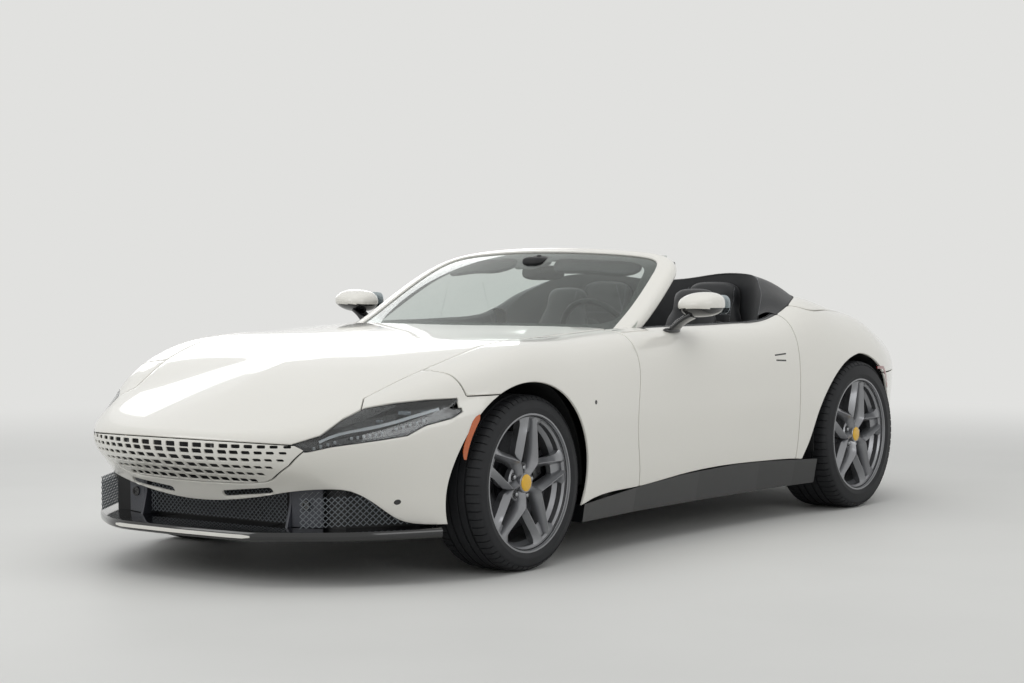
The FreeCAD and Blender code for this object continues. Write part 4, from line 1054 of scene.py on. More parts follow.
class BuildBody(bpy.types.Operator):
    """Outer panels of the body, trimmed from one smooth surface"""

    bl_idname = "convertible.body"
    bl_label = "Body panels"

    def execute(self, context):
        sizes = context.scene.convertible_sizes
        regions = body_regions()

        def half(name):
            gap = sizes.panel_gap / 2
            return panel(regions[name], sizes.skin_step, sizes.panel_wall, sizes.edge_roll, gap)

        for name, body in BODY_OF_PANEL.items():
            make_piece(name + "_skin", whole(half(name)), "pearl_paint", body, "body_paint", [name])
        door = half("door")
        for side, turn in (("left", lambda data: data), ("right", mirrored)):
            body = "door_" + side
            make_piece(body + "_skin", turn(door), "pearl_paint", body, "body_paint", [body])
        return {"FINISHED"}


# Shapes shared by the smaller pieces


def walls(turns, count, closed=False):
    """Quads between rings of like count, each joined to the next."""
    faces = []
    for i in range(turns if closed else turns - 1):
        j = (i + 1) % turns
        for k in range(count):
            m = (k + 1) % count
            faces.append([i * count + k, i * count + m, j * count + m, j * count + k])
    return faces


def end_caps(turns, count):
    """Faces that close the first ring and the last."""
    return [list(range(count))[::-1], [(turns - 1) * count + k for k in range(count)]]


def lofted(rings):
    """Solid through closed rings of like count."""
    turns, count = len(rings), len(rings[0])
    points = np.array([p for ring in rings for p in ring])
    return points, walls(turns, count) + end_caps(turns, count)


def lathe(profile, segments=96, arc=None):
    """Closed profile of (radius, along) turned about the Y axis, all round or over an arc in degrees."""
    start, end = arc or (0, 360)
    closed = arc is None
    angles = np.radians(np.linspace(start, end, segments + 1))[: segments + (0 if closed else 1)]
    turns, count = len(angles), len(profile)
    points = [(r * math.cos(a), y, r * math.sin(a)) for a in angles for r, y in profile]
    faces = [[a, d, c, b] for a, b, c, d in walls(turns, count, closed)]
    if not closed:
        faces += [face[::-1] for face in end_caps(turns, count)]
    return np.array(points), faces


def sweep(section, path, normals, scales=None, closed=False, capped=True):
    """Closed section of (across, out) carried along a path; out follows the given normals."""
    path = np.array(path, float)
    count, turns = len(section), len(path)
    points = []
    for i in range(turns):
        after = path[(i + 1) % turns] if closed or i + 1 < turns else path[i]
        before = path[i - 1] if closed or i > 0 else path[i]
        tangent = (after - before) / np.linalg.norm(after - before)
        out = np.array(normals[i], float) - np.dot(normals[i], tangent) * tangent
        out /= np.linalg.norm(out)
        across = np.cross(tangent, out)
        scale = (1, 1) if scales is None else scales[i]
        points += [path[i] + across * a * scale[0] + out * b * scale[1] for a, b in section]
    caps = end_caps(turns, count) if capped and not closed else []
    return np.array(points), walls(turns, count, closed) + caps


def circle(across, up, sides, centre=(0, 0)):
    """Ellipse of points about a centre."""
    angles = np.linspace(0, 2 * math.pi, sides, endpoint=False)
    return [(centre[0] + across * math.cos(a), centre[1] + up * math.sin(a)) for a in angles]


def tube(path, radius, sides=10, up=(0, 0, 1)):
    """Round bar along a path."""
    return sweep(circle(radius, radius, sides), path, [up] * len(path))


def round_outline(width, height, radius, steps=5):
    """Rounded rectangle about the origin, anticlockwise."""
    points = []
    for cx, cy, start in ((1, 1, 0), (-1, 1, 90), (-1, -1, 180), (1, -1, 270)):
        middle = cx * (width / 2 - radius), cy * (height / 2 - radius)
        points += arc_points(middle, radius, start, start + 90, steps)
    return points


def slab(outline, origin, across, up, thick, bevel=0.0):
    """Flat plate of an outline standing at origin, grown along across x up, with softened edges."""
    across, up = Vector(across).normalized(), Vector(up).normalized()
    out = across.cross(up)
    middle = np.mean(np.array(outline), axis=0)
    points = []
    rings = [(0, bevel), (bevel, 0), (thick - bevel, 0), (thick, bevel)] if bevel else [(0, 0), (thick, 0)]
    for level, shrink in rings:
        for a, b in outline:
            away = np.array((a, b)) - middle
            long = np.linalg.norm(away)
            a, b = middle + away * max(long - shrink, 0) / long
            points.append(Vector(origin) + across * a + up * b + out * level)
    count, turns = len(outline), len(rings)
    return np.array([tuple(p) for p in points]), end_caps(turns, count) + walls(turns, count)


def side_plate(outline, y, thick, bevel=0.0):
    """Slab of an (x, z) outline, grown towards the right from y."""
    return slab(outline, (0, y, 0), (1, 0, 0), (0, 0, 1), thick, bevel)


def front_plate(outline, x, thick):
    """Slab of a (y, z) outline, grown ahead from x."""
    return slab(outline, (x, 0, 0), (0, 1, 0), (0, 0, 1), thick)


def flat_plate(outline, z, thick, bevel=0.0):
    """Slab of an (x, y) outline, grown upwards from z."""
    return slab(outline, (0, 0, z), (1, 0, 0), (0, 1, 0), thick, bevel)


def box_outline(low, high):
    """Corners of a rectangle, anticlockwise from the low one."""
    return [low, (high[0], low[1]), high, (low[0], high[1])]


def pebble(centre, halves, power=2.6, rings=20, sides=32, shape=None):
    """Closed rounded block; shape may move its unit points before they are sized."""
    points, faces = [(0, 0, 1)], []
    for i in range(1, rings):
        phi = math.pi * i / rings
        for k in range(sides):
            theta = 2 * math.pi * k / sides
            wide = math.sin(phi)
            raw = np.array((wide * math.cos(theta), wide * math.sin(theta), math.cos(phi)))
            points.append(tuple(raw / (np.abs(raw) ** power).sum() ** (1 / power)))
    points.append((0, 0, -1))
    last = len(points) - 1
    for k in range(sides):
        m = (k + 1) % sides
        faces.append([0, 1 + k, 1 + m])
        faces.append([last, 1 + (rings - 2) * sides + m, 1 + (rings - 2) * sides + k])
        for i in range(rings - 2):
            a, b = 1 + i * sides, 1 + (i + 1) * sides
            faces.append([a + k, b + k, b + m, a + m])
    unit = np.array(points)
    if shape is not None:
        unit = shape(unit)
    return unit * halves + centre, faces


def along_x(data, signs, place):
    """Turned part with its axle laid along X, flipped by signs and moved to a place."""
    return data[0][:, [1, 0, 2]] * signs + place, data[1]


def flipped_side(data):
    """Mirror image of plain vertices and faces across the centre plane."""
    return data[0] * np.array([1, -1, 1]), [f[::-1] for f in data[1]]


SIDES = (("left", lambda data: data), ("right", flipped_side))


def merged(*parts):
    """Several plain meshes as one."""
    points, faces, offset = [], [], 0
    for part in parts:
        points.append(np.array(part[0]))
        faces += [[offset + i for i in face] for face in part[1]]
        offset += len(part[0])
    return np.vstack(points), faces


def two_sided(data):
    """A left piece with its twin on the right."""
    return merged(data, flipped_side(data))


def on_ring(tree, entry):
    """Points on one spot, each turned about Y by its share of a full turn."""
    index = add_node(tree, "GeometryNodeInputIndex").outputs[0]
    share = add_node(
        tree, "ShaderNodeMath", {"operation": "DIVIDE"}, {0: index, 1: entry["Count"]}
    ).outputs[0]
    angle = add_node(
        tree, "ShaderNodeMath", {"operation": "MULTIPLY"}, {0: share, 1: 2 * math.pi}
    ).outputs[0]
    turn = add_node(tree, "ShaderNodeCombineXYZ", inputs={"Y": angle}).outputs[0]
    spot = {"Count": entry["Count"], "Start Location": entry["Centre"], "Offset": (0, 0, 0)}
    line = add_node(tree, "GeometryNodeMeshLine", {"mode": "OFFSET"}, spot)
    return {"Points": line.outputs["Mesh"], "Rotation": turn}


def on_lattice(tree, entry):
    """Points of a flat grid in X and Y."""
    names = {"Size X": "Width", "Size Y": "Height", "Vertices X": "Columns", "Vertices Y": "Rows"}
    inputs = {name: entry[value] for name, value in names.items()}
    return {"Points": add_node(tree, "GeometryNodeMeshGrid", inputs=inputs).outputs["Mesh"]}


def on_line(tree, entry):
    """Even points along the edges of the object's own mesh, turned along them."""
    line = add_node(tree, "GeometryNodeMeshToCurve", inputs={"Mesh": entry["Line"]}).outputs[0]
    spacing = {"Curve": line, "Length": entry["Spacing"]}
    even = add_node(tree, "GeometryNodeResampleCurve", {"mode": "LENGTH"}, spacing).outputs[0]
    tangent = add_node(tree, "GeometryNodeInputTangent").outputs[0]
    along = add_node(tree, "FunctionNodeAlignRotationToVector", {"axis": "X"}, {"Vector": tangent})
    return {"Points": even, "Rotation": along.outputs[0]}


SPREADS = {
    "ring": (on_ring, {"Count": "Int", "Centre": "Vector"}),
    "lattice": (on_lattice, {"Columns": "Int", "Rows": "Int", "Width": "Float", "Height": "Float"}),
    "stitches": (on_line, {"Spacing": "Float"}),
}
TREES = {}


def copies_tree(kind):
    """Geometry Nodes tree that sets copies of a piece on points, and the names of its inputs."""
    spread, values = SPREADS[kind]
    tree = bpy.data.node_groups.new(kind + "_of_pieces", "GeometryNodeTree")
    keys = {}
    for name, socket in {"Line": "Geometry", "Piece": "Object", **values}.items():
        made = tree.interface.new_socket(name, in_out="INPUT", socket_type="NodeSocket" + socket)
        keys[name] = made.identifier
    tree.interface.new_socket("Geometry", in_out="OUTPUT", socket_type="NodeSocketGeometry")
    entry = add_node(tree, "NodeGroupInput").outputs
    piece = add_node(tree, "GeometryNodeObjectInfo", inputs={"Object": entry["Piece"]})
    places = {"Instance": piece.outputs["Geometry"], **spread(tree, entry)}
    copies = add_node(tree, "GeometryNodeInstanceOnPoints", inputs=places).outputs[0]
    real = add_node(tree, "GeometryNodeRealizeInstances", inputs={"Geometry": copies}).outputs[0]
    add_node(tree, "NodeGroupOutput", inputs={"Geometry": real})
    return tree, keys


def spread_copies(name, kind, unit, values, line=((), ())):
    """Mesh of the copies of a small mesh that a tree sets out; line holds its guide's points and edges."""
    if kind not in TREES:
        TREES[kind] = copies_tree(kind)
    tree, keys = TREES[kind]
    piece = new_object(name + "_unit", new_mesh(name + "_unit", *unit))
    holder = new_object(name + "_holder", new_mesh(name + "_holder", line[0], edges=line[1]))
    modifier = holder.modifiers.new("copies", "NODES")
    modifier.node_group = tree
    for key, value in {"Piece": piece, **values}.items():
        modifier[keys[key]] = value
    holder.update_tag()
    bpy.context.view_layer.update()
    result = evaluated(holder)
    result.name = name
    for item in (piece, holder):
        bpy.data.objects.remove(item)
    return result


def ring_of(name, unit, count, centre, material, body, slot):
    """Copies of a small mesh round the Y axis through centre, as one plain mesh."""
    mesh = spread_copies(name, "ring", outward(unit), {"Count": count, "Centre": centre})
    shade(mesh)
    return dress(new_object(name, mesh), material, body, slot)


# Grille

SLOT_ROWS = [(0.520, 10), (0.497, 10), (0.469, 10), (0.440, 9), (0.412, 8), (0.385, 7)]
SLOT_COLUMNS = [0.033, 0.1, 0.16, 0.217, 0.274, 0.323, 0.371, 0.418, 0.461, 0.504]
SLOT_LEAN = 0.032
SLOT_SIZE = (0.046, 0.019)
SLOT_END_SIZE = (0.024, 0.010)
SENSOR_COLUMN = 3


def grille_slots():
    """Centres and half sizes of the slots of the left half."""
    centres, halves = [], []
    for row, (height, count) in enumerate(SLOT_ROWS):
        for column in SLOT_COLUMNS[:count]:
            share = (column / SLOT_COLUMNS[-1]) ** 1.5
            centres.append((column * (1 - SLOT_LEAN * row), height))
            halves.append([(a + (b - a) * share) / 2 for a, b in zip(SLOT_SIZE, SLOT_END_SIZE)])
    return centres, halves


SENSOR_X = 2.285


class BuildGrille(bpy.types.Operator):
    """Body-coloured grille plate with six rows of slots, and the dark duct behind it"""

    bl_idname = "convertible.grille"
    bl_label = "Grille"

    def execute(self, context):
        sizes = context.scene.convertible_sizes
        fields = body_regions()["grille"]
        centres, halves = grille_slots()
        slots = rounded_boxes(centres, halves, 0.004, FRONT)
        patch = cut(trimmed(window(fields, sizes.grille_step), fields, sizes.panel_gap / 2), slots)
        half = shell(patch, 0.005, 0.0012)
        make_piece("grille_plate", whole(half), "pearl_paint", "chassis", "body_paint", ["grille"])
        back = panel(fields, 0.03, 0.004, 0, 0.001, 0.03)
        make_piece("grille_duct", whole(back), "grained_plastic", "chassis", "black_trim")
        sensors = []
        ring = lathe([(0.0045, 0), (0.0085, 0), (0.0085, 0.012), (0.0045, 0.010), (0, 0.010), (0, 0)], 24)
        for side in (1, -1):
            place = [SENSOR_X, SLOT_COLUMNS[SENSOR_COLUMN] * side, SLOT_ROWS[0][0]]
            sensors.append(along_x(ring, [1, -1, 1], place))
        make_piece("grille_sensors", merged(*sensors), "gloss_black", "chassis", "black_trim")
        return {"FINISHED"}


# Windscreen

SCREEN_BASE_EDGE = np.array([0.322, 0.806, 0.903])
SCREEN_BASE_MIDDLE = np.array([0.5, 0, 0.908])
SCREEN_HEAD_EDGE = np.array([-0.3, 0.58, 1.225])
SCREEN_HEAD_MIDDLE = np.array([-0.2, 0, 1.255])
SCREEN_CROWN = 0.2


def screen_point(uv):
    """Windscreen surface: u 0 to 1 from head to base, v -1 to 1 from left to right."""
    t = (1 - uv[:, 0])[:, None]
    s = -uv[:, 1][:, None]
    edge = SCREEN_BASE_EDGE + (SCREEN_HEAD_EDGE - SCREEN_BASE_EDGE) * t
    middle = SCREEN_BASE_MIDDLE + (SCREEN_HEAD_MIDDLE - SCREEN_BASE_MIDDLE) * t
    point = middle + (edge - middle) * [1, 0, 1] * s**2 + edge * [0, 1, 0] * s
    point[:, 2] += (SCREEN_CROWN * np.clip(t, 0, 1) ** 2 * (1 - np.clip(t, 0, 1)))[:, 0]
    return point


def screen_patch(low, high, counts):
    """Patch of the windscreen's surface; its normals may reach past its edges."""
    return {**grid(screen_point, low, high, counts), "low": (-1, -2), "high": (2, 2)}


def on_screen(line):
    """Smooth outline seen from the front, from (u, share of half width) on the left half of the screen."""
    uv = np.array(smooth(line, 4)) * [1, -1]
    return [(y, z) for _, y, z in screen_point(uv)]


FRAME_SECTION = smooth(
    [
        (-0.044, -0.004), (-0.042, 0.0015), (-0.03, 0.003), (-0.008, 0.004), (0.014, 0.002),
        (0.031, -0.006), (0.041, -0.02), (0.043, -0.036), (0.036, -0.046), (0.0, -0.048),
        (-0.03, -0.03), (-0.044, -0.004),
    ],
    3,
)[:-1]
TRIM_SECTION = smooth(
    [
        (0.034, -0.045), (0.022, -0.055), (0.0, -0.059), (-0.028, -0.055), (-0.05, -0.038),
        (-0.057, -0.013), (-0.04, -0.0125), (0.0, -0.04), (0.034, -0.045)
    ],
    3,
)[:-1]
FRAME_LINE = [
    (1.14, 0.9), (1.0, 0.917), (0.8, 0.952), (0.6, 0.984), (0.4, 1.008), (0.27, 1.012), (0.17, 0.985)
]
FRAME_LINE += [(0.105, 0.915), (0.07, 0.79), (0.055, 0.55), (0.05, 0.25), (0.05, 0)]
SCREEN_WINDOW = [
    (0.945, 0), (0.945, 0.6), (0.935, 0.76), (0.89, 0.84), (0.8, 0.87), (0.6, 0.885), (0.42, 0.885)
]
SCREEN_WINDOW += [
    (0.3, 0.87), (0.235, 0.8), (0.215, 0.6), (0.21, 0.35), (0.22, 0.2), (0.29, 0.12), (0.345, 0.09),
    (0.355, 0)
]
VISOR = [
    (0.13, 0.16), (0.13, 0.5), (0.14, 0.76), (0.19, 0.82), (0.28, 0.83), (0.33, 0.79), (0.335, 0.5),
    (0.3, 0.2), (0.2, 0.16)
]


class BuildWindscreen(bpy.types.Operator):
    """Painted windscreen frame, pane with its black edge band, sun visors and inner mirror"""

    bl_idname = "convertible.windscreen"
    bl_label = "Windscreen"

    def execute(self, context):
        uv = np.array(smooth(FRAME_LINE, 4)) * [1, -1]
        uv[-1, 1] = 0
        path = screen_point(uv)
        normals = surface_normal(screen_point, uv, (-1, -2), (2, 2))
        halves = []
        for section in (FRAME_SECTION, TRIM_SECTION):
            points, faces = sweep(section, path, normals, capped=False)
            points[-len(section) :, 1] = 0
            faces.append(list(reversed(range(len(section)))))
            half = (points, faces, np.zeros((sum(len(f) for f in faces), 3)))
            halves.append(whole(half))
        frame_data, trim = halves
        foot = panel(body_regions()["pillar_foot"], 0.012, 0.012, 0.002, 0.0)
        parts = merged(frame_data[:2], foot[:2], mirrored(foot)[:2])
        make_piece(
            "windscreen_surround", parts, "pearl_paint", "chassis", "body_paint", ["windscreen_frame"]
        )
        make_piece("windscreen_inner_trim", trim[:2], "grained_plastic", "chassis", "black_trim")
        pane = screen_patch((0.06, -0.97), (1.1, 0.97), (40, 60))
        pane = cut(pane, above(0.868))
        glass = shell(pane, 0.005, 0, 0.004)
        make_piece(
            "windscreen_pane", glass, "windscreen_glass", "chassis", "windscreen_glass", ["windscreen"]
        )
        window_line = on_screen(SCREEN_WINDOW)
        opening = window_line + [(-y, z) for y, z in reversed(window_line[1:-1])]
        band = screen_patch((0.07, -0.96), (1.1, 0.96), (60, 90))
        band = cut(band, above(0.87))
        band = cut(band, outside(inside(opening, FRONT)))
        make_piece(
            "windscreen_edge_band", shell(band, 0.0012, 0, 0.0095), "gloss_black", "chassis",
            "black_trim"
        )
        visor_line = on_screen(VISOR + VISOR[:1])[:-1]
        visor = screen_patch((0.08, -0.9), (0.4, -0.1), (20, 40))
        visor = shell(cut(visor, inside(visor_line, FRONT)), 0.014, 0.003, 0.022)
        make_piece("sun_visors", whole(visor), "grained_leather", "chassis", "interior_leather")
        glass_part = pebble((-0.105, 0, 1.135), (0.014, 0.118, 0.034), 3.2)
        stem = tube(
            [(-0.1, 0, 1.14), (-0.09, 0, 1.17), (-0.075, 0, 1.2), (-0.07, 0, 1.218)], 0.011,
            up=(1, 0, 0)
        )
        cover = pebble((-0.055, 0, 1.188), (0.06, 0.062, 0.024), 3.0)
        make_piece(
            "inner_mirror", merged(glass_part, stem, cover), "grained_plastic", "chassis", "black_trim"
        )
        return {"FINISHED"}


# Door mirrors


def mirror_shape(unit):
    """Fuller towards the car and at the back, drawn out to a soft point ahead."""
    x, y, z = unit.T
    taper = 1 - 0.38 * np.clip(x, 0, 1) ** 1.5
    return np.stack(
        [x + 0.12 * y**2 * (x > 0), y * (1 - 0.12 * np.clip(x, 0, 1)), (z + 0.1 * y) * taper], -1
    )


MIRROR_CENTRE = np.array([0.085, 0.965, 1.003])
MIRROR_PARTING = 0.014


class BuildMirrors(bpy.types.Operator):
    """Door mirrors: painted caps over black lower shells on black feet"""

    bl_idname = "convertible.mirrors"
    bl_label = "Door mirrors"

    def execute(self, context):
        points, faces = pebble(MIRROR_CENTRE, (0.098, 0.095, 0.054), 2.5, 30, 48, mirror_shape)
        heights = [np.mean(points[face][:, 2]) - MIRROR_CENTRE[2] for face in faces]
        upper = [face for face, height in zip(faces, heights) if height > -MIRROR_PARTING]
        lower = [face for face, height in zip(faces, heights) if height <= -MIRROR_PARTING]
        lower += [face for face, height in zip(faces, heights) if -MIRROR_PARTING < height < 0]
        cap = thickened((points, upper), 0.004)
        tray = thickened((MIRROR_CENTRE + (points - MIRROR_CENTRE) * 0.975, lower), 0.004)
        glass = slab(
            round_outline(0.165, 0.082, 0.03), (-0.012, 0.965, 1.003), (0, 1, 0), (0, 0, 1), -0.003
        )
        arm = sweep(
            round_outline(0.075, 0.02, 0.009),
            smooth(
                [(0.13, 0.845, 0.885), (0.128, 0.868, 0.912), (0.12, 0.9, 0.938), (0.11, 0.935, 0.957)],
                4
            ),
            [(0, -0.6, 0.8)] * 13,
        )
        foot = pebble((0.135, 0.846, 0.893), (0.06, 0.022, 0.014), 2.4)
        for side, turn in SIDES:
            node, body = "mirror_" + side, "door_" + side
            make_piece(node + "_cap", turn(cap), "pearl_paint", body, "body_paint", [node])
            make_piece(node + "_foot", turn(merged(tray, arm, foot)), "gloss_black", body, "black_trim")
            make_piece(node + "_glass", turn(glass), "mirror_silver", body, "black_trim")
        return {"FINISHED"}


def thickened(data, wall):
    """Open sheet of faces given a wall towards its inside."""
    mesh = bpy.data.meshes.new("sheet")
    mesh.from_pydata([tuple(p) for p in data[0]], [], data[1])
    sheet_mesh = bmesh.new()
    sheet_mesh.from_mesh(mesh)
    loose = [v for v in sheet_mesh.verts if not v.link_faces]
    bmesh.ops.delete(sheet_mesh, geom=loose, context="VERTS")
    sheet_mesh.normal_update()
    verts = list(sheet_mesh.verts)
    for i, v in enumerate(verts):
        v.index = i
    outer = np.array([tuple(v.co) for v in verts])
    inner = np.array([tuple(v.co - v.normal * wall) for v in verts])
    faces = [[v.index for v in f.verts] for f in sheet_mesh.faces]
    sheet_mesh.free()
    bpy.data.meshes.remove(mesh)
    count = len(outer)
    pairs = {(a, b) for f in faces for a, b in zip(f, f[1:] + f[:1])}
    rim = [[b, a, count + a, count + b] for a, b in pairs if (b, a) not in pairs]
    return np.vstack([outer, inner]), faces + [[count + i for i in reversed(f)] for f in faces] + rim


# Wheels

# Half of a spoke pair in stations along the pair's middle line: across is measured from that line,
# depth from the wheel's face. Up to the crotch the ridge runs on the line between two pairs.
#   along, ridge across, ridge depth, inner foot across, depth, outer foot across, depth
SPOKE = [
    (0.030, 0.0218, -0.0120, 0.0040, -0.030, 0.0218, -0.0122),
    (0.048, 0.0349, -0.0080, 0.0040, -0.036, 0.0349, -0.0082),
    (0.060, 0.0436, -0.0055, 0.0190, -0.036, 0.0436, -0.0057),
    (0.0777, 0.0564, -0.0035, 0.0290, -0.034, 0.0564, -0.0037),
    (0.088, 0.0545, -0.0030, 0.0305, -0.034, 0.0625, -0.020),
    (0.110, 0.0504, -0.0025, 0.0310, -0.033, 0.0680, -0.028),
    (0.150, 0.0431, -0.0025, 0.0260, -0.031, 0.0620, -0.028),
    (0.190, 0.0357, -0.0030, 0.0200, -0.029, 0.0560, -0.026),
    (0.222, 0.0298, -0.0040, 0.0160, -0.026, 0.0570, -0.022),
    (0.240, 0.0265, -0.0050, 0.0140, -0.022, 0.0720, -0.016),
    (0.253, 0.0240, -0.0060, 0.0120, -0.016, 0.0930, -0.012),
]
SPOKE_BACK = -0.058
PAIR_TURN = math.radians(25.5)
PAIRS = 5
DISC_VANES = 36
DISC_Y = 0.838
RIM_RADIUS = 0.268
FACE_INSET = 0.014
LUG_RADIUS = 0.058
WHEELS = {
    "front": {
        "x": 1.305, "z": 0.340, "y": 0.826, "half": 0.1225, "carrier": "knuckle_{side}", "calliper": 180
    },
    "rear": {"x": -1.365, "z": 0.354, "y": 0.8395, "half": 0.1425, "carrier": "chassis", "calliper": 0},
}


def turned_about_axle(data, angle):
    """Plain mesh turned about the Y axis, positive from +X towards +Z."""
    points = np.array(data[0])
    c, s = math.cos(angle), math.sin(angle)
    x, z = points[:, 0] * c - points[:, 2] * s, points[:, 0] * s + points[:, 2] * c
    return np.stack([x, points[:, 1], z], -1), data[1]


def spoke_arm(side):
    """One arm of a pair as a loft through its stations, in wheel coordinates with +X along the pair."""
    rings = []
    for along, ridge, ridge_d, inner, inner_d, outer, outer_d in SPOKE:
        back_outer = max(outer - 0.006, ridge * 0.98)
        ring = [
            (inner, SPOKE_BACK),
            (inner, inner_d),
            ((inner + ridge) / 2 + 0.0005, (inner_d + ridge_d) / 2 + 0.001),
            (ridge - 0.0012, ridge_d - 0.0004),
            (ridge + 0.0012 * (outer > ridge), ridge_d - 0.0004),
            ((outer + ridge) / 2, (outer_d + ridge_d) / 2 + 0.001),
            (outer, outer_d),
            (back_outer, SPOKE_BACK),
        ]
        rings.append([(along, depth, side * across) for across, depth in ring])
    points, faces = lofted(rings)
    return points, faces if side < 0 else [f[::-1] for f in faces]


def rim_profile(half):
    """Lip, barrel with its well and inner flange, as (radius, depth from the face)."""
    lip = FACE_INSET - 0.006
    inner = -2 * half + FACE_INSET + 0.008
    outside_line = [(RIM_RADIUS, lip), (RIM_RADIUS, lip - 0.008), (0.2535, lip - 0.012), (0.2535, -0.045)]
    outside_line += [
        (0.238, -0.06), (0.238, -0.1), (0.2535, -0.115), (0.2535, inner + 0.01),
        (RIM_RADIUS, inner + 0.007)
    ]
    inside_line = [
        (RIM_RADIUS, inner), (0.262, inner), (0.247, inner + 0.012), (0.247, -0.12), (0.232, -0.105)
    ]
    inside_line += [
        (0.232, -0.055), (0.246, -0.04), (0.246, -0.018), (0.253, -0.010), (0.259, -0.004),
        (0.2615, lip)
    ]
    return outside_line + inside_line


def tyre_profile(radius, half):
    """Sidewalls, shoulders and a tread with four grooves, as (radius, offset from the middle)."""
    bead, groove_y, groove_half, groove_depth = half - 0.0165, (0.022, 0.058), 0.0045, 0.007
    side = [
        (0.2545, bead - 0.02), (0.2545, bead), (RIM_RADIUS + 0.0006, bead + 0.001),
        (RIM_RADIUS + 0.0006, half - 0.0055)
    ]
    side += [(0.275, half - 0.003), (0.284, half - 0.0016), (0.288, half - 0.0003), (0.2905, half - 0.0003)]
    side += [(0.294, half - 0.0018), (radius - 0.033, half - 0.0028), (radius - 0.02, half - 0.008)]
    side += [(radius - 0.011, half - 0.018), (radius - 0.0075, half - 0.03), (radius - 0.006, half - 0.055)]
    tread = []
    for y in groove_y[::-1]:
        tread += [
            (radius, y + groove_half),
            (radius - groove_depth, y + groove_half * 0.7),
            (radius - groove_depth, y - groove_half * 0.7),
            (radius, y - groove_half),
        ]
    line = side + [(radius - 0.006, groove_y[1] + groove_half + 0.002)] + tread
    return line + [(r, -y) for r, y in reversed(line)]


def tread_block(radius, half, blocks):
    """Shoulder block of one side and the other, standing on the tread's edge at angle 0."""
    span = 2 * math.pi / blocks * 0.43
    outline = [(radius - 0.0002, 0.0635), (radius - 0.0004, half - 0.05), (radius - 0.0025, half - 0.028)]
    outline += [
        (radius - 0.0075, half - 0.0145), (radius - 0.0185, half - 0.0055),
        (radius - 0.021, half - 0.011)
    ]
    outline += [(radius - 0.010, half - 0.028), (radius - 0.0105, 0.0635)]
    rings = [[(r * math.cos(a), y, r * math.sin(a)) for r, y in outline] for a in (-span, span)]
    points, faces = lofted(rings)
    return two_sided((points, [f[::-1] for f in faces]))


def lug_nut():
    """Closed hexagon nut with a domed end, in its round seat, at the lug circle on +X."""
    profile = [
        (0, -0.040), (0.0105, -0.040), (0.0105, -0.029), (0.0085, -0.026), (0.0045, -0.0245),
        (0, -0.0243)
    ]
    nut = lathe(profile, 6)
    seat = lathe(
        [(0.0125, -0.0365), (0.0165, -0.0365), (0.0165, -0.034), (0.0148, -0.033), (0.0125, -0.0335)],
        20
    )
    return [(part[0] + [LUG_RADIUS, 0, 0], part[1]) for part in (nut, seat)]


WEB_PROFILE = [(0.196, -0.056), (0.25, -0.056), (0.25, -0.026), (0.215, -0.03), (0.196, -0.036)]
HUB_PROFILE = [
    (0.0305, -0.062), (0.078, -0.062), (0.078, -0.042), (0.072, -0.0365), (0.041, -0.036),
    (0.039, -0.0155), (0.036, -0.0125), (0.0335, -0.0125), (0.0305, -0.0145),
]
CAP_PROFILE = [
    (0, -0.0138), (0.0328, -0.0138), (0.0328, -0.0118), (0.030, -0.0098), (0.02, -0.0086), (0, -0.0082)
]
DISC_PROFILE = [
    (0.03, 0.004), (0.085, 0.004), (0.085, -0.012), (0.115, -0.012), (0.115, 0), (0.195, 0),
    (0.195, -0.011), (0.118, -0.011), (0.118, -0.021), (0.195, -0.021), (0.195, -0.032),
    (0.112, -0.032), (0.112, -0.02), (0.078, -0.02), (0.078, -0.004), (0.03, -0.004),
]
CALLIPER_PROFILE = [
    (0.122, -0.052), (0.2, -0.052), (0.212, -0.045), (0.216, -0.03), (0.216, 0.012), (0.208, 0.026),
    (0.122, 0.03), (0.118, 0.022), (0.118, 0.006), (0.199, 0.006), (0.199, -0.038), (0.118, -0.038),
]


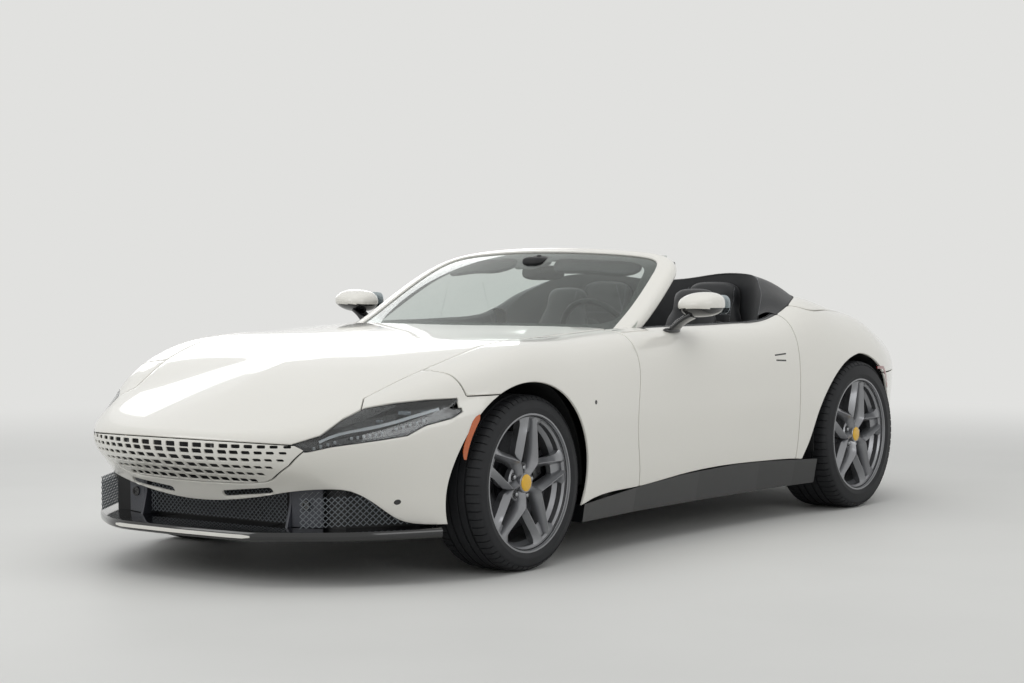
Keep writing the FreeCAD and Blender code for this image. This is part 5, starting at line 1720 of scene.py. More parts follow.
class BuildWheels(bpy.types.Operator):
    """Alloy wheels with five pairs of ridged spokes, tyres, brake discs and callipers"""

    bl_idname = "convertible.wheels"
    bl_label = "Wheels and brakes"

    def execute(self, context):
        blocks = context.scene.convertible_sizes.tread_blocks
        for end, place in WHEELS.items():
            face = place["half"] - FACE_INSET
            turns = [PAIR_TURN + 2 * math.pi * k / PAIRS for k in range(PAIRS)]
            pair_arms = merged(spoke_arm(1), spoke_arm(-1))
            arms = merged(*[turned_about_axle(pair_arms, turn) for turn in turns])
            web = lathe(WEB_PROFILE, 6, (-5.5, 5.5))
            webs = merged(*[turned_about_axle(web, turn) for turn in turns])
            hub = lathe(HUB_PROFILE, 64)
            rim = lathe(rim_profile(place["half"]), 128)
            cap = lathe(CAP_PROFILE, 48)
            tyre = lathe(tyre_profile(place["z"], place["half"]), 144)
            disc = lathe(DISC_PROFILE, 96)
            vane = slab(
                round_outline(0.068, 0.005, 0.002, 2), (0.156, -0.0218, 0), (1, 0, 0), (0, 0, 1),
                -0.0116
            )
            nut, seat = lug_nut()
            calliper = lathe(CALLIPER_PROFILE, 18, arc=(-33, 33))
            for side, sign in (("left", 1), ("right", -1)):
                body = f"wheel_{end}_{side}"
                corner = f"{end}_{side}"
                centre = np.array([place["x"], sign * place["y"], place["z"]])

                def set_up(data, out=0.0, angle=0.0):
                    points, faces = turned_about_axle(data, angle)
                    data = (points + [0, out, 0], faces)
                    points, faces = data if sign > 0 else flipped_side(data)
                    return points + centre, faces

                lift = DISC_Y - place["y"]
                wheel = set_up(merged(arms, webs, hub, rim), face)
                rotor, tyre_data = set_up(disc, lift), set_up(tyre)
                clamp = set_up(calliper, lift, math.radians(place["calliper"]))
                carrier = place["carrier"].format(side=side)
                rim_node, tyre_node, disc_node = f"rim_{corner}", f"tyre_{corner}", f"brake_disc_{corner}"
                for name, data, coat, rider, slot, nodes in (
                    (rim_node + "_spokes", wheel, "painted_alloy", body, "wheel_alloy", [rim_node]),
                    (rim_node + "_cap", set_up(cap, face), "cap_enamel", body, "wheel_alloy", []),
                    (tyre_node + "_carcass", tyre_data, "tyre_rubber", body, "tyre_rubber", [tyre_node]),
                    (f"disc_{corner}_rotor", rotor, "brake_iron", body, "brake_iron", [disc_node]),
                    (f"calliper_{corner}", clamp, "gloss_black", carrier, "brake_iron", []),
                ):
                    make_piece(name, data, coat, rider, slot, nodes)
                block = tread_block(place["z"], place["half"], blocks)
                row = tyre_node + "_shoulder_blocks"
                ring_of(row, block, blocks, centre, "tyre_rubber", body, "tyre_rubber")
                vanes = vane if sign > 0 else flipped_side(vane)
                middle = centre + [0, sign * lift, 0]
                ring_of(f"disc_{corner}_vanes", vanes, DISC_VANES, middle, "brake_iron", body, "brake_iron")
                for part, name, coat in ((nut, "nuts", "lug_steel"), (seat, "nut_seats", "gloss_black")):
                    part = turned_about_axle((part[0] + [0, face, 0], part[1]), PAIR_TURN)
                    part = part if sign > 0 else flipped_side(part)
                    ring_of(f"rim_{corner}_{name}", part, PAIRS, centre, coat, body, "wheel_alloy")
        return {"FINISHED"}


# Lamps

LAMP_IN = np.array([-math.cos(LAMP_VIEW), -math.sin(LAMP_VIEW), 0])
LAMP_SUNK = 0.055
BAR_SUNK = 0.014
BAR_THICK = 0.006
BAR_LINES = (
    ([(-0.775, 0.535), (-0.74, 0.55), (-0.70, 0.563), (-0.66, 0.571), (-0.62, 0.577)], 0.0055),
    ([(-0.62, 0.577), (-0.56, 0.588), (-0.5, 0.602), (-0.43, 0.622), (-0.345, 0.645)], 0.0065),
)
LAMP_AXES = np.array([-LAMP_IN, QUARTER[0], [0, 0, 1]])
PROJECTORS = ((-0.47, 0.632, 0.05, 0.017), (-0.395, 0.634, 0.042, 0.015), (-0.56, 0.604, 0.026, 0.011))
LED_LINES = (((-0.795, 0.512), (-0.72, 0.532), 4), ((-0.66, 0.545), (-0.55, 0.560), 6))
LED_LINES += (((-0.50, 0.575), (-0.40, 0.602), 5),)


def lamp_place(across, height, sunk):
    """Point behind the lens: across and height in the lamp's view, sunk from the body surface."""
    us, vs = np.linspace(0.02, 0.2, 90), np.linspace(0.6, 1.8, 90)
    uv = np.stack(np.meshgrid(us, vs, indexing="ij"), -1).reshape(-1, 2)
    surface = body_point(uv)
    flat = surface @ QUARTER.T
    near = np.argmin(((flat - [across, height]) ** 2).sum(1))
    depth = surface[near] @ -LAMP_IN
    base = QUARTER[0] * across + np.array([0, 0, height])
    return base - LAMP_IN * depth + LAMP_IN * sunk


def light_bar(points, half_height):
    """Thin bar behind the lens through points of (across, height)."""
    path = [lamp_place(across, height, BAR_SUNK) for across, height in points]
    narrow = half_height * 0.8
    section = [(-half_height, 0), (-narrow, BAR_THICK), (narrow, BAR_THICK), (half_height, 0)]
    return sweep(section, path, [-LAMP_IN] * len(path))


class BuildLamps(bpy.types.Operator):
    """Headlamps with lens, bowl and light bars, and the slim tail lamps"""

    bl_idname = "convertible.lamps"
    bl_label = "Lamps"

    def execute(self, context):
        sizes = context.scene.convertible_sizes
        regions = body_regions()
        lens = panel(regions["lamp"], 0.008, 0.003, 0.0015, sizes.panel_gap / 2, 0.002)
        make_piece(
            "headlamp_lenses", whole(lens), "lens_polycarbonate", "chassis", "headlamp", ["headlamps"]
        )
        patch = trimmed(window(regions["lamp"], 0.012), regions["lamp"], 0.0005)
        count = len(patch["faces"])
        points, faces, _ = shell(patch, 0, 0, 0.006, LAMP_IN * LAMP_SUNK)
        bowl = thickened((points, [f[::-1] for f in faces[count:]]), 0.002)
        make_piece("headlamp_bowls", two_sided(bowl), "gloss_black", "chassis", "headlamp")
        bars = [light_bar(line, half_height) for line, half_height in BAR_LINES]
        make_piece("headlamp_bars", two_sided(merged(*bars)), "lamp_silver", "chassis", "headlamp")
        units, leds = [], []
        for across, height, wide, tall in PROJECTORS:
            points, faces = pebble((0, 0, 0), (0.012, wide / 2, tall / 2), 4, 10, 20)
            units.append((points @ LAMP_AXES + lamp_place(across, height, 0.03), faces))
        make_piece("headlamp_projectors", two_sided(merged(*units)), "lamp_glass", "chassis", "headlamp")
        for start, end, number in LED_LINES:
            for share in np.linspace(0, 1, number):
                across, height = np.array(start) + (np.array(end) - start) * share
                points, faces = pebble((0, 0, 0), (0.006, 0.0055, 0.0055), 4, 8, 12)
                leds.append((points @ LAMP_AXES + lamp_place(across, height, 0.035), faces))
        make_piece("headlamp_leds", two_sided(merged(*leds)), "led_white", "chassis", "headlamp")
        tail = panel(regions["tail_lamps"], 0.01, 0.012, 0.002, sizes.panel_gap / 2, 0.001)
        make_piece("tail_lamp_lenses", whole(tail), "lamp_red", "chassis", "tail_lamp", ["tail_lamps"])
        return {"FINISHED"}


# Lower trim

NOSE_PATH = smooth(
    [
        (2.24, -0.35), (2.2585, -0.18), (2.264, 0), (2.2585, 0.18), (2.24, 0.35), (2.15, 0.512),
        (2.04, 0.65), (1.905, 0.758), (1.74, 0.855)
    ],
    5
)
MESH_PLANE_X = 2.04
MESH_LOW, MESH_HIGH = 0.207, 0.348
STRIP_HALF = 0.375
STRIP_Z = 0.1865
SIDE_INTAKE = (-0.42, 0.27, 0)


def wire_net(name, columns, rows, pitch, wire, origin, along, keep):
    """Diamond net of flat wires, standing upright along a line about its middle, trimmed by keep."""
    bars = []
    wide, tall = pitch
    for tilt in (1, -1):
        start, end = np.array([-wide / 2, -tall / 2 * tilt]), np.array([wide / 2, tall / 2 * tilt])
        run = (end - start) / np.linalg.norm(end - start)
        side = np.array([-run[1], run[0]]) * wire / 2
        outline = [start - side, end - side, end + side, start + side]
        bars.append(slab([tuple(p) for p in outline], (0, 0, 0), (1, 0, 0), (0, 1, 0), wire * 1.4))
    values = {"Columns": columns, "Rows": rows, "Width": wide * (columns - 1), "Height": tall * (rows - 1)}
    points, faces = plain(spread_copies(name, "lattice", merged(*bars), values))
    along, up = np.array(along) / np.linalg.norm(along), np.array([0.0, 0.0, 1.0])
    out = np.cross(along, up)
    placed = np.array(origin) + points[:, :1] * along + points[:, 1:2] * up + points[:, 2:] * out
    good = keep(placed)
    kept = [f for f in faces if all(good[i] for i in f)]
    used = sorted({i for f in kept for i in f})
    number = {old: new for new, old in enumerate(used)}
    return placed[used], [[number[i] for i in f] for f in kept]


class BuildLowerTrim(bpy.types.Operator):
    """Splitter, intake backing, nets, fins and sensors below the painted body"""

    bl_idname = "convertible.lower_trim"
    bl_label = "Lower trim"

    def execute(self, context):
        cell = context.scene.convertible_sizes.mesh_cell
        half_path = [p for p in NOSE_PATH if p[1] > -0.01]
        path = [(x, -y, 0) for x, y in reversed(half_path[1:])] + [(x, y, 0) for x, y in half_path]
        section = [
            (0.171, -0.024), (0.1685, -0.012), (0.174, -0.002), (0.182, 0.0), (0.196, 0.0),
            (0.2035, -0.005)
        ]
        section += [(0.2052, -0.02), (0.2052, -0.43), (0.166, -0.43)]
        normals = []
        for i in range(len(path)):
            step = np.array(path[min(i + 1, len(path) - 1)]) - path[max(i - 1, 0)]
            normals.append((step[1], -step[0], 0))
        points, faces = sweep([(-b, a) for b, a in section], path, normals)
        points[:, 2] = np.abs(points[:, 2])
        make_piece("splitter_blade", (points, faces), "gloss_black", "chassis", "black_trim", ["splitter"])
        strip_path = [p for p in path if abs(p[1]) < STRIP_HALF]
        strip_normals = [n for p, n in zip(path, normals) if abs(p[1]) < STRIP_HALF]
        lens = [
            (-0.1795, -0.004), (-0.1795, 0.0006), (-0.1865, 0.0012), (-0.1935, 0.0006),
            (-0.1935, -0.004)
        ]
        points, faces = sweep(lens, strip_path, strip_normals)
        share = np.clip((STRIP_HALF - np.abs(points[:, 1])) / 0.05, 0.25, 1)
        points[:, 2] = STRIP_Z + (np.abs(points[:, 2]) - STRIP_Z) * share
        make_piece("splitter_strip", (points, faces), "pearl_paint", "chassis", "body_paint")
        back = front_plate(box_outline((-0.6, 0.205), (0.6, 0.36)), MESH_PLANE_X - 0.05, -0.004)
        sides = slab(box_outline((0, 0.205), (0.3, 0.36)), (1.965, 0.56, 0), SIDE_INTAKE, (0, 0, 1), 0.004)
        make_piece(
            "intake_backing", merged(back, two_sided(sides)), "grained_plastic", "chassis",
            "black_trim", ["intake_mesh"]
        )
        chin = inside(box_outline((-1, MESH_LOW), (1, MESH_HIGH)), FRONT)

        def between_walls(low, high):
            return lambda p: (p[:, 1] > low) & (p[:, 1] < high) & (chin(p) > -0.004)

        centre, pitch = (MESH_PLANE_X, 0, 0.278), (cell, cell * 0.95)
        centre_net = wire_net(
            "centre_net", 36, 8, pitch, 0.0022, centre, (0, 1, 0), between_walls(-0.372, 0.372)
        )
        centre, pitch = (1.97, 0.635, 0.275), (cell * 1.15, cell * 1.05)
        side_net = wire_net("side_net", 18, 7, pitch, 0.0024, centre, SIDE_INTAKE, between_walls(0.5, 0.83))
        make_piece(
            "intake_nets", merged(centre_net, two_sided(side_net)), "net_wire", "chassis", "black_trim"
        )
        fin_line = [(1.99, 0.205), (2.075, 0.205), (2.062, 0.25), (2.05, 0.3), (2.05, 0.348), (1.99, 0.348)]
        fin = side_plate(fin_line, 0.386, 0.012, 0.002)
        plate_line = box_outline((0, 0.207), (0.125, 0.352))
        plate = slab(plate_line, (2.045, 0.386, 0), (-0.32, 1, 0), (0, 0, 1), 0.006, 0.0015)
        make_piece("intake_fins", two_sided(merged(fin, plate)), "fin_grey", "chassis", "black_trim")
        eye = lathe(
            [
                (0, 0), (0.012, 0), (0.012, 0.0025), (0.016, 0.0035), (0.019, 0.0025), (0.019, -0.004),
                (0, -0.004)
            ],
            32
        )
        eye = along_x((eye[0], [face[::-1] for face in eye[1]]), [1, 1, 1], [2.0395, 0.447, 0.289])
        make_piece("intake_sensors", two_sided(eye), "gloss_black", "chassis", "black_trim")
        return {"FINISHED"}


# Seats and cabin

CUSHION_VOXEL = 0.014
CLOTH_FRAMES = 16
CLOTH_LIMIT = 0.014
STITCH_HALVES = (0.0026, 0.0008, 0.0008)
SEAT_Y = 0.37
REAR_SEAT_Y = 0.315
SEAT_HINGE = (-0.6, 0.42)
SEAT_LEAN = math.radians(17)
SEAM_LIFT = 0.0008


def leaned(data, pivot, angle):
    """Plain mesh leant back about a line along Y through pivot (x, z)."""
    points = np.array(data[0])
    c, s = math.cos(angle), math.sin(angle)
    x, z = points[:, 0] - pivot[0], points[:, 2] - pivot[1]
    return np.stack([pivot[0] + x * c - z * s, points[:, 1], pivot[1] + x * s + z * c], -1), data[1]


def upholstered(name, data, pressure=4.0):
    """Foam-filled cover: the blank is remeshed, blown up as cloth within a limit, and smoothed."""
    piece = new_object(name, new_mesh(name, *data))
    remesh = piece.modifiers.new("remesh", "REMESH")
    remesh.mode = "VOXEL"
    remesh.voxel_size = CUSHION_VOXEL
    blank = piece.data = evaluated(piece)
    start = np.array([tuple(v.co) for v in blank.vertices])
    cloth = piece.modifiers.new("cloth", "CLOTH")
    cloth.settings.use_pressure = True
    cloth.settings.uniform_pressure_force = pressure
    cloth.settings.effector_weights.gravity = 0
    cloth.settings.quality = 4
    cloth.point_cache.frame_start, cloth.point_cache.frame_end = 1, CLOTH_FRAMES
    scene = bpy.context.scene
    for frame_number in range(1, CLOTH_FRAMES + 1):
        scene.frame_set(frame_number)
    end = plain(evaluated(piece))[0]
    scene.frame_set(1)
    move = end - start
    far = np.maximum(np.linalg.norm(move, axis=1, keepdims=True), 1e-9)
    start = start + move * np.minimum(1, CLOTH_LIMIT / far)
    for vertex, place in zip(blank.vertices, start):
        vertex.co = place
    soft = piece.modifiers.new("soft", "CORRECTIVE_SMOOTH")
    soft.factor = 0.6
    soft.iterations = 6
    soft.use_only_smooth = True
    finer = piece.modifiers.new("finer", "SUBSURF")
    finer.levels = finer.render_levels = 1
    final = plain(evaluated(piece))
    bpy.data.objects.remove(piece)
    return final


def stitched(name, lines, body, spacing=0.008):
    """Pale saddle stitches along polylines, as one piece."""
    points, edges = [], []
    for line in lines:
        edges += [(len(points) + k, len(points) + k + 1) for k in range(len(line) - 1)]
        points += line
    stitch = pebble((0, 0, 0), STITCH_HALVES, 2, 4, 6)
    mesh = spread_copies(name, "stitches", stitch, {"Spacing": spacing}, (points, edges))
    return dress(new_object(name, mesh), "stitch_thread", body, "interior_leather")


def on_surface(data, points, axis):
    """Moves points along an axis, 1 for X to 3 for Z, onto the outermost vertices of a piece near them."""
    cloud = np.array(data[0])
    main = axis - 1
    others = [k for k in range(3) if k != main]
    placed = []
    for point in points:
        near = np.hypot(*(cloud[:, others] - np.array(point)[others]).T) < 0.012
        fixed = list(point)
        fixed[main] = (cloud[near, main].max() if near.any() else point[main]) + SEAM_LIFT
        placed.append(tuple(fixed))
    return placed


def other_side(lines):
    """Mirror images of lines across the centre plane."""
    return [[(x, -y, z) for x, y, z in line] for line in lines]


class BuildSeats(bpy.types.Operator):
    """Front and rear seats as foam-filled leather covers with stitched seams"""

    bl_idname = "convertible.seats"
    bl_label = "Seats"

    def execute(self, context):
        base = merged(
            pebble((-0.335, SEAT_Y, 0.372), (0.275, 0.165, 0.062), 5),
            pebble((-0.345, SEAT_Y + 0.195, 0.385), (0.265, 0.042, 0.078), 4),
            pebble((-0.345, SEAT_Y - 0.195, 0.385), (0.265, 0.042, 0.078), 4),
        )
        cushion = upholstered("front_cushion_blank", base)
        bolster = pebble((-0.635, SEAT_Y + 0.192, 0.66), (0.07, 0.04, 0.235), 4)
        spine = merged(
            pebble((-0.66, SEAT_Y, 0.69), (0.045, 0.165, 0.29), 5),
            bolster,
            (flipped_side(bolster)[0] + [0, 2 * SEAT_Y, 0], flipped_side(bolster)[1]),
            pebble((-0.655, SEAT_Y, 0.94), (0.04, 0.15, 0.075), 3),
            pebble((-0.653, SEAT_Y, 1.035), (0.045, 0.118, 0.083), 3.4),
        )
        back = upholstered("front_back_blank", leaned(spine, SEAT_HINGE, SEAT_LEAN))
        rest_data = leaned(pebble((-0.71, SEAT_Y, 0.66), (0.022, 0.2, 0.3), 6), SEAT_HINGE, SEAT_LEAN)
        rear_blank = pebble((-0.955, REAR_SEAT_Y, 0.385), (0.105, 0.185, 0.062), 5)
        rear_base = upholstered("rear_cushion_blank", rear_blank, 3.0)
        rear_spine = merged(
            pebble((-1.045, REAR_SEAT_Y, 0.7), (0.045, 0.185, 0.3), 5),
            pebble((-1.07, REAR_SEAT_Y, 1.005), (0.05, 0.15, 0.1), 3.6),
        )
        rear_back = upholstered("rear_back_blank", leaned(rear_spine, (-1.03, 0.42), math.radians(4)), 3.0)
        for name, data, nodes, fill in (
            ("front_seat_cushions", cushion, ["front_seats"], 0.8),
            ("front_seat_backs", back, [], 0.75),
            ("rear_seat_cushions", rear_base, ["rear_seats"], 0.8),
            ("rear_seat_backs", rear_back, [], 0.75),
        ):
            piece = make_piece(
                name, two_sided(data), "grained_leather", "chassis", "interior_leather", nodes
            )
        make_piece("front_seat_shells", two_sided(rest_data), "grained_plastic", "chassis", "black_trim")
        rail_line = box_outline((-0.6, 0.198), (-0.08, 0.31))
        rails = merged(*[side_plate(rail_line, SEAT_Y + out, 0.02, 0.004) for out in (0.19, -0.17)])
        make_piece("front_seat_rails", two_sided(rails), "grained_plastic", "chassis", "black_trim")
        lines = []
        for out in (-0.155, 0.155):
            heights = np.linspace(0.5, 1.09, 40)
            seam = [(0, SEAT_Y + out * (1 - 0.35 * max(0, z - 0.9) / 0.19), z) for z in heights]
            lines.append(on_surface(back, seam, 1))
        for out in (-0.155, 0.155):
            lines.append(
                on_surface(cushion, [(x, SEAT_Y + out, 0) for x in np.linspace(-0.56, -0.1, 30)], 3)
            )
        for out in (-0.13, 0.13):
            seam = [(0, REAR_SEAT_Y + out, z) for z in np.linspace(0.5, 1.06, 30)]
            lines.append(on_surface(rear_back, seam, 1))
        seam = [(0, REAR_SEAT_Y + out, 0.93) for out in np.linspace(-0.13, 0.13, 20)]
        lines.append(on_surface(rear_back, seam, 1))
        stitched("seat_stitching", lines + other_side(lines), "chassis")
        return {"FINISHED"}


BELT_LINE = [
    (0.5, 0.79, 0.9), (0.2, 0.788, 0.906), (0, 0.792, 0.907), (-0.24, 0.8, 0.907), (-0.41, 0.806, 0.909)
]
BELT_LINE += [(-0.51, 0.82, 0.909), (-0.63, 0.831, 0.913), (-0.76, 0.831, 0.93), (-0.795, 0.83, 0.94)]
REAR_EDGE = [(-0.803, 0.829, 0.94), (-0.86, 0.826, 0.958), (-0.915, 0.821, 0.978), (-1.0, 0.8, 1.003)]
REAR_EDGE += [
    (-1.086, 0.755, 1.022), (-1.135, 0.66, 1.034), (-1.155, 0.45, 1.046), (-1.16, 0.2, 1.05),
    (-1.16, 0, 1.05)
]
REAR_CREST = [(-0.8, 0.735, 0.935), (-0.84, 0.72, 0.97), (-0.9, 0.695, 1.02), (-0.98, 0.64, 1.07)]
REAR_CREST += [
    (-1.06, 0.575, 1.11), (-1.115, 0.5, 1.125), (-1.135, 0.36, 1.13), (-1.14, 0.15, 1.105),
    (-1.14, 0, 1.095)
]
DOOR_CARD = [
    (0.004, -0.030), (0.003, -0.008), (-0.006, 0.0015), (-0.024, 0.002), (-0.040, -0.010), (-0.046, -0.035),
    (-0.046, -0.13), (-0.050, -0.175), (-0.078, -0.200), (-0.088, -0.215), (-0.086, -0.245),
    (-0.052, -0.275), (-0.047, -0.36), (-0.052, -0.52), (-0.048, -0.60), (-0.03, -0.615), (0.02, -0.6),
    (0.05, -0.4), (0.03, -0.1),
]


def between(edge_a, edge_b, rows, bulge):
    """Sheet of points between two lines of like count, bulged upwards in its middle."""
    a, b = np.array(smooth(edge_a, 5)), np.array(smooth(edge_b, 5))
    count = min(len(a), len(b))
    points = []
    for share in np.linspace(0, 1, rows):
        row = a[:count] * (1 - share) + b[:count] * share
        row[:, 2] += bulge * math.sin(math.pi * share)
        points += [tuple(p) for p in row]
    faces = [
        [i * count + k, i * count + k + 1, (i + 1) * count + k + 1, (i + 1) * count + k]
        for i in range(rows - 1)
        for k in range(count - 1)
    ]
    return np.array(points), faces


DASH = [
    (0.475, 0.862), (0.40, 0.876), (0.30, 0.884), (0.22, 0.884), (0.16, 0.876), (0.125, 0.862),
    (0.115, 0.845), (0.135, 0.825), (0.150, 0.79), (0.125, 0.765), (0.110, 0.75), (0.105, 0.72),
    (0.120, 0.68), (0.16, 0.64), (0.24, 0.615), (0.36, 0.605), (0.475, 0.605),
]
CONSOLE = [(0.105, 0.0), (0.105, 0.3), (0.1, 0.34), (0.085, 0.362), (0.05, 0.372), (0.0, 0.374)]


def dash_bend(y):
    """How far the dashboard's ends curve away from the seats."""
    return 0.035 * (y / 0.73) ** 2


def dash_rings():
    """Sections across the dashboard, with a hood over the instruments."""
    rings = []
    parts = ((-0.728, -0.6, 5), (-0.5, 0.5, 21), (0.6, 0.728, 5))
    for y in np.concatenate([np.linspace(*part) for part in parts]):
        hood = math.exp(-(((y - SEAT_Y) / 0.17) ** 4))
        twin = math.exp(-(((y + SEAT_Y) / 0.19) ** 4))
        ring = []
        for x, z in DASH:
            top = max(0.0, (z - 0.83) / 0.055)
            front = max(0.0, (0.3 - x) / 0.2)
            rise = (0.028 * hood + 0.008 * twin) * top * min(1, front + 0.2)
            ring.append((x + dash_bend(y) * front - 0.012 * hood * front, y, z + rise))
        rings.append(ring)
    return rings


def door_card_rings():
    """Sections of a door card along the belt line, drawn in ahead of the armrest."""
    rings = []
    for x, y, z in smooth(BELT_LINE, 4):
        x = min(x, 0.495)
        rest = 1.0 if x < 0.02 else max(0.0, 1 - (x - 0.02) / 0.08)
        ring = []
        for dy, dz in DOOR_CARD:
            inward = dy if dy > -0.05 else -0.05 + (dy + 0.05) * rest
            ring.append((x, y + (max(inward, 0.747 - y) if x > 0.18 else inward), z + dz))
        rings.append(ring)
    return rings


VENTS_Y = (-0.62, -0.2, 0.16, 0.62)
VENT_Z = 0.8
CONSOLE_STATIONS = ((-0.69, 0.72), (-0.66, 0.83), (-0.5, 0.9), (-0.3, 0.93), (-0.1, 0.98), (0.02, 1.06))
CONSOLE_STATIONS += ((0.1, 1.16), (0.2, 1.2))
CONSOLE_SLOPE = (1, 0, 0.14)


class BuildCabin(bpy.types.Operator):
    """Dashboard, console, door cards, rear trim and carpet"""

    bl_idname = "convertible.cabin"
    bl_label = "Cabin"

    def execute(self, context):
        dash = lofted(dash_rings())
        make_piece("dashboard_pad", dash, "grained_leather", "chassis", "interior_leather", ["dashboard"])
        trim_path = [(0.112 + dash_bend(y), y, 0.757) for y in np.linspace(-0.7, 0.7, 41)]
        strip = sweep(round_outline(0.012, 0.006, 0.002, 3), trim_path, [(-1, 0, 0.3)] * len(trim_path))
        make_piece("dashboard_strip", strip, "satin_metal", "chassis", "black_trim")
        screen = slab(
            round_outline(0.19, 0.25, 0.012), (0.088, 0, 0.70), (0, -1, 0), (0.35, 0, 1), 0.012, 0.002
        )
        cluster = slab(
            round_outline(0.30, 0.105, 0.02), (0.112, SEAT_Y, 0.835), (0, -1, 0), (0.3, 0, 1), 0.01,
            0.002
        )
        make_piece("dashboard_screens", merged(screen, cluster), "gloss_black", "chassis", "black_trim")
        vents = []
        ring = [(0.030, 0), (0.042, 0.002), (0.044, 0.010), (0.040, 0.014), (0.034, 0.012), (0.030, 0.006)]
        for y in VENTS_Y:
            vents.append(along_x(lathe(ring, 40), [-1, 1, 1], [0.128 + dash_bend(y), y, VENT_Z]))
            for k in (-1, 0, 1):
                place = (0.124, y, VENT_Z + 0.014 * k)
                vents.append(slab(round_outline(0.06, 0.004, 0.001, 2), place, (0, 1, 0), (0, 0, 1), 0.01))
        make_piece("dashboard_vents", merged(*vents), "satin_metal", "chassis", "black_trim")
        outline = CONSOLE + [(-y, z) for y, z in reversed(CONSOLE[:-1])]
        rings = []
        for x, tall in CONSOLE_STATIONS:
            rings.append([(x, y * (1 + 0.12 * (x > 0)), 0.176 + z * tall) for y, z in outline])
        console = lofted(rings)
        make_piece(
            "console_tunnel", console, "grained_leather", "chassis", "interior_leather",
            ["centre_console"]
        )
        inlay = slab(
            round_outline(0.44, 0.13, 0.03), (-0.2, 0, 0.532), CONSOLE_SLOPE, (0, 1, 0), 0.006, 0.0015
        )
        knob = slab(
            round_outline(0.13, 0.045, 0.02), (-0.13, 0, 0.548), CONSOLE_SLOPE, (0, 1, 0), 0.010, 0.003
        )
        make_piece("console_inlay", inlay, "gloss_black", "chassis", "black_trim")
        make_piece("console_selector", knob, "satin_metal", "chassis", "black_trim")
        card = outward(lofted(door_card_rings()))
        handle = tube(
            smooth(
                [(-0.30, 0.742, 0.77), (-0.25, 0.726, 0.785), (-0.12, 0.722, 0.79), (-0.06, 0.742, 0.78)],
                4
            ),
            0.009, 10
        )
        speaker = lathe([(0.075, 0), (0.088, 0.002), (0.09, 0.008), (0.086, 0.012), (0.078, 0.009)], 48)
        speaker = (speaker[0] * [1, -1, 1] + [0.3, 0.752, 0.46], speaker[1])
        pull = merged(outward(handle), outward(speaker))
        tops = [[(x, y - 0.03, z + 0.0035) for x, y, z in smooth(BELT_LINE, 6) if x < 0.45]]
        for side, turn in SIDES:
            body = "door_" + side
            make_piece(body + "_card", turn(card), "grained_leather", body, "interior_leather")
            make_piece(body + "_pull", turn(pull), "satin_metal", body, "black_trim")
            stitched(body + "_stitching", tops if side == "left" else other_side(tops), body, 0.009)
        slope = between(REAR_EDGE, REAR_CREST, 9, 0.014)
        low = [(max(x * 0.995, -1.13), y * 0.86, 0.42) for x, y, _ in REAR_CREST]
        cover = thickened(merged(slope, between(REAR_CREST, low, 9, 0.0)), 0.003)
        seal_path = [(x, y, z - 0.004) for x, y, z in smooth(REAR_EDGE, 5)]
        seal = sweep(round_outline(0.012, 0.012, 0.005, 3), seal_path, [(0, 0.3, 1)] * len(seal_path))
        make_piece(
            "rear_cabin_cover", two_sided(cover), "grained_leather", "chassis", "interior_leather",
            ["cabin_surround"]
        )
        make_piece("rear_cabin_seal", two_sided(seal), "grained_plastic", "chassis", "black_trim")
        ridge = [[(x, y, z + 0.001) for x, y, z in smooth(REAR_CREST, 6)]]
        stitched("rear_cover_stitching", ridge + other_side(ridge), "chassis")
        carpet = flat_plate(box_outline((-0.86, 0.112), (0.47, 0.735)), 0.173, 0.012, 0.004)
        toe = front_plate(box_outline((0.112, 0.18), (0.7, 0.62)), 0.474, -0.01)
        make_piece("cabin_carpet", two_sided(merged(carpet, toe)), "tufted_carpet", "chassis", "black_trim")
        pad = round_outline(0.07, 0.09, 0.01)
        pedals = [slab(pad, (0.4, y, 0.33), (0, -1, 0), (0.5, 0, 1), 0.008, 0.002) for y in (0.3, 0.43)]
        make_piece("pedals", merged(*pedals), "satin_metal", "chassis", "black_trim")
        return {"FINISHED"}


WHEEL_CENTRE = np.array([0, 0.37, 0.85])
WHEEL_TILT = math.radians(25)
WHEEL_RADIUS = 0.176
WHEEL_FOOT = -0.150


def in_wheel_plane(data):
    """Mesh drawn with X to the right, Y up and Z towards the driver, set on the column."""
    up = np.array([math.sin(WHEEL_TILT), 0, math.cos(WHEEL_TILT)])
    out = np.array([-math.cos(WHEEL_TILT), 0, math.sin(WHEEL_TILT)])
    points = np.array(data[0])
    return WHEEL_CENTRE + points[:, :1] * [0, -1, 0] + points[:, 1:2] * up + points[:, 2:] * out, data[1]


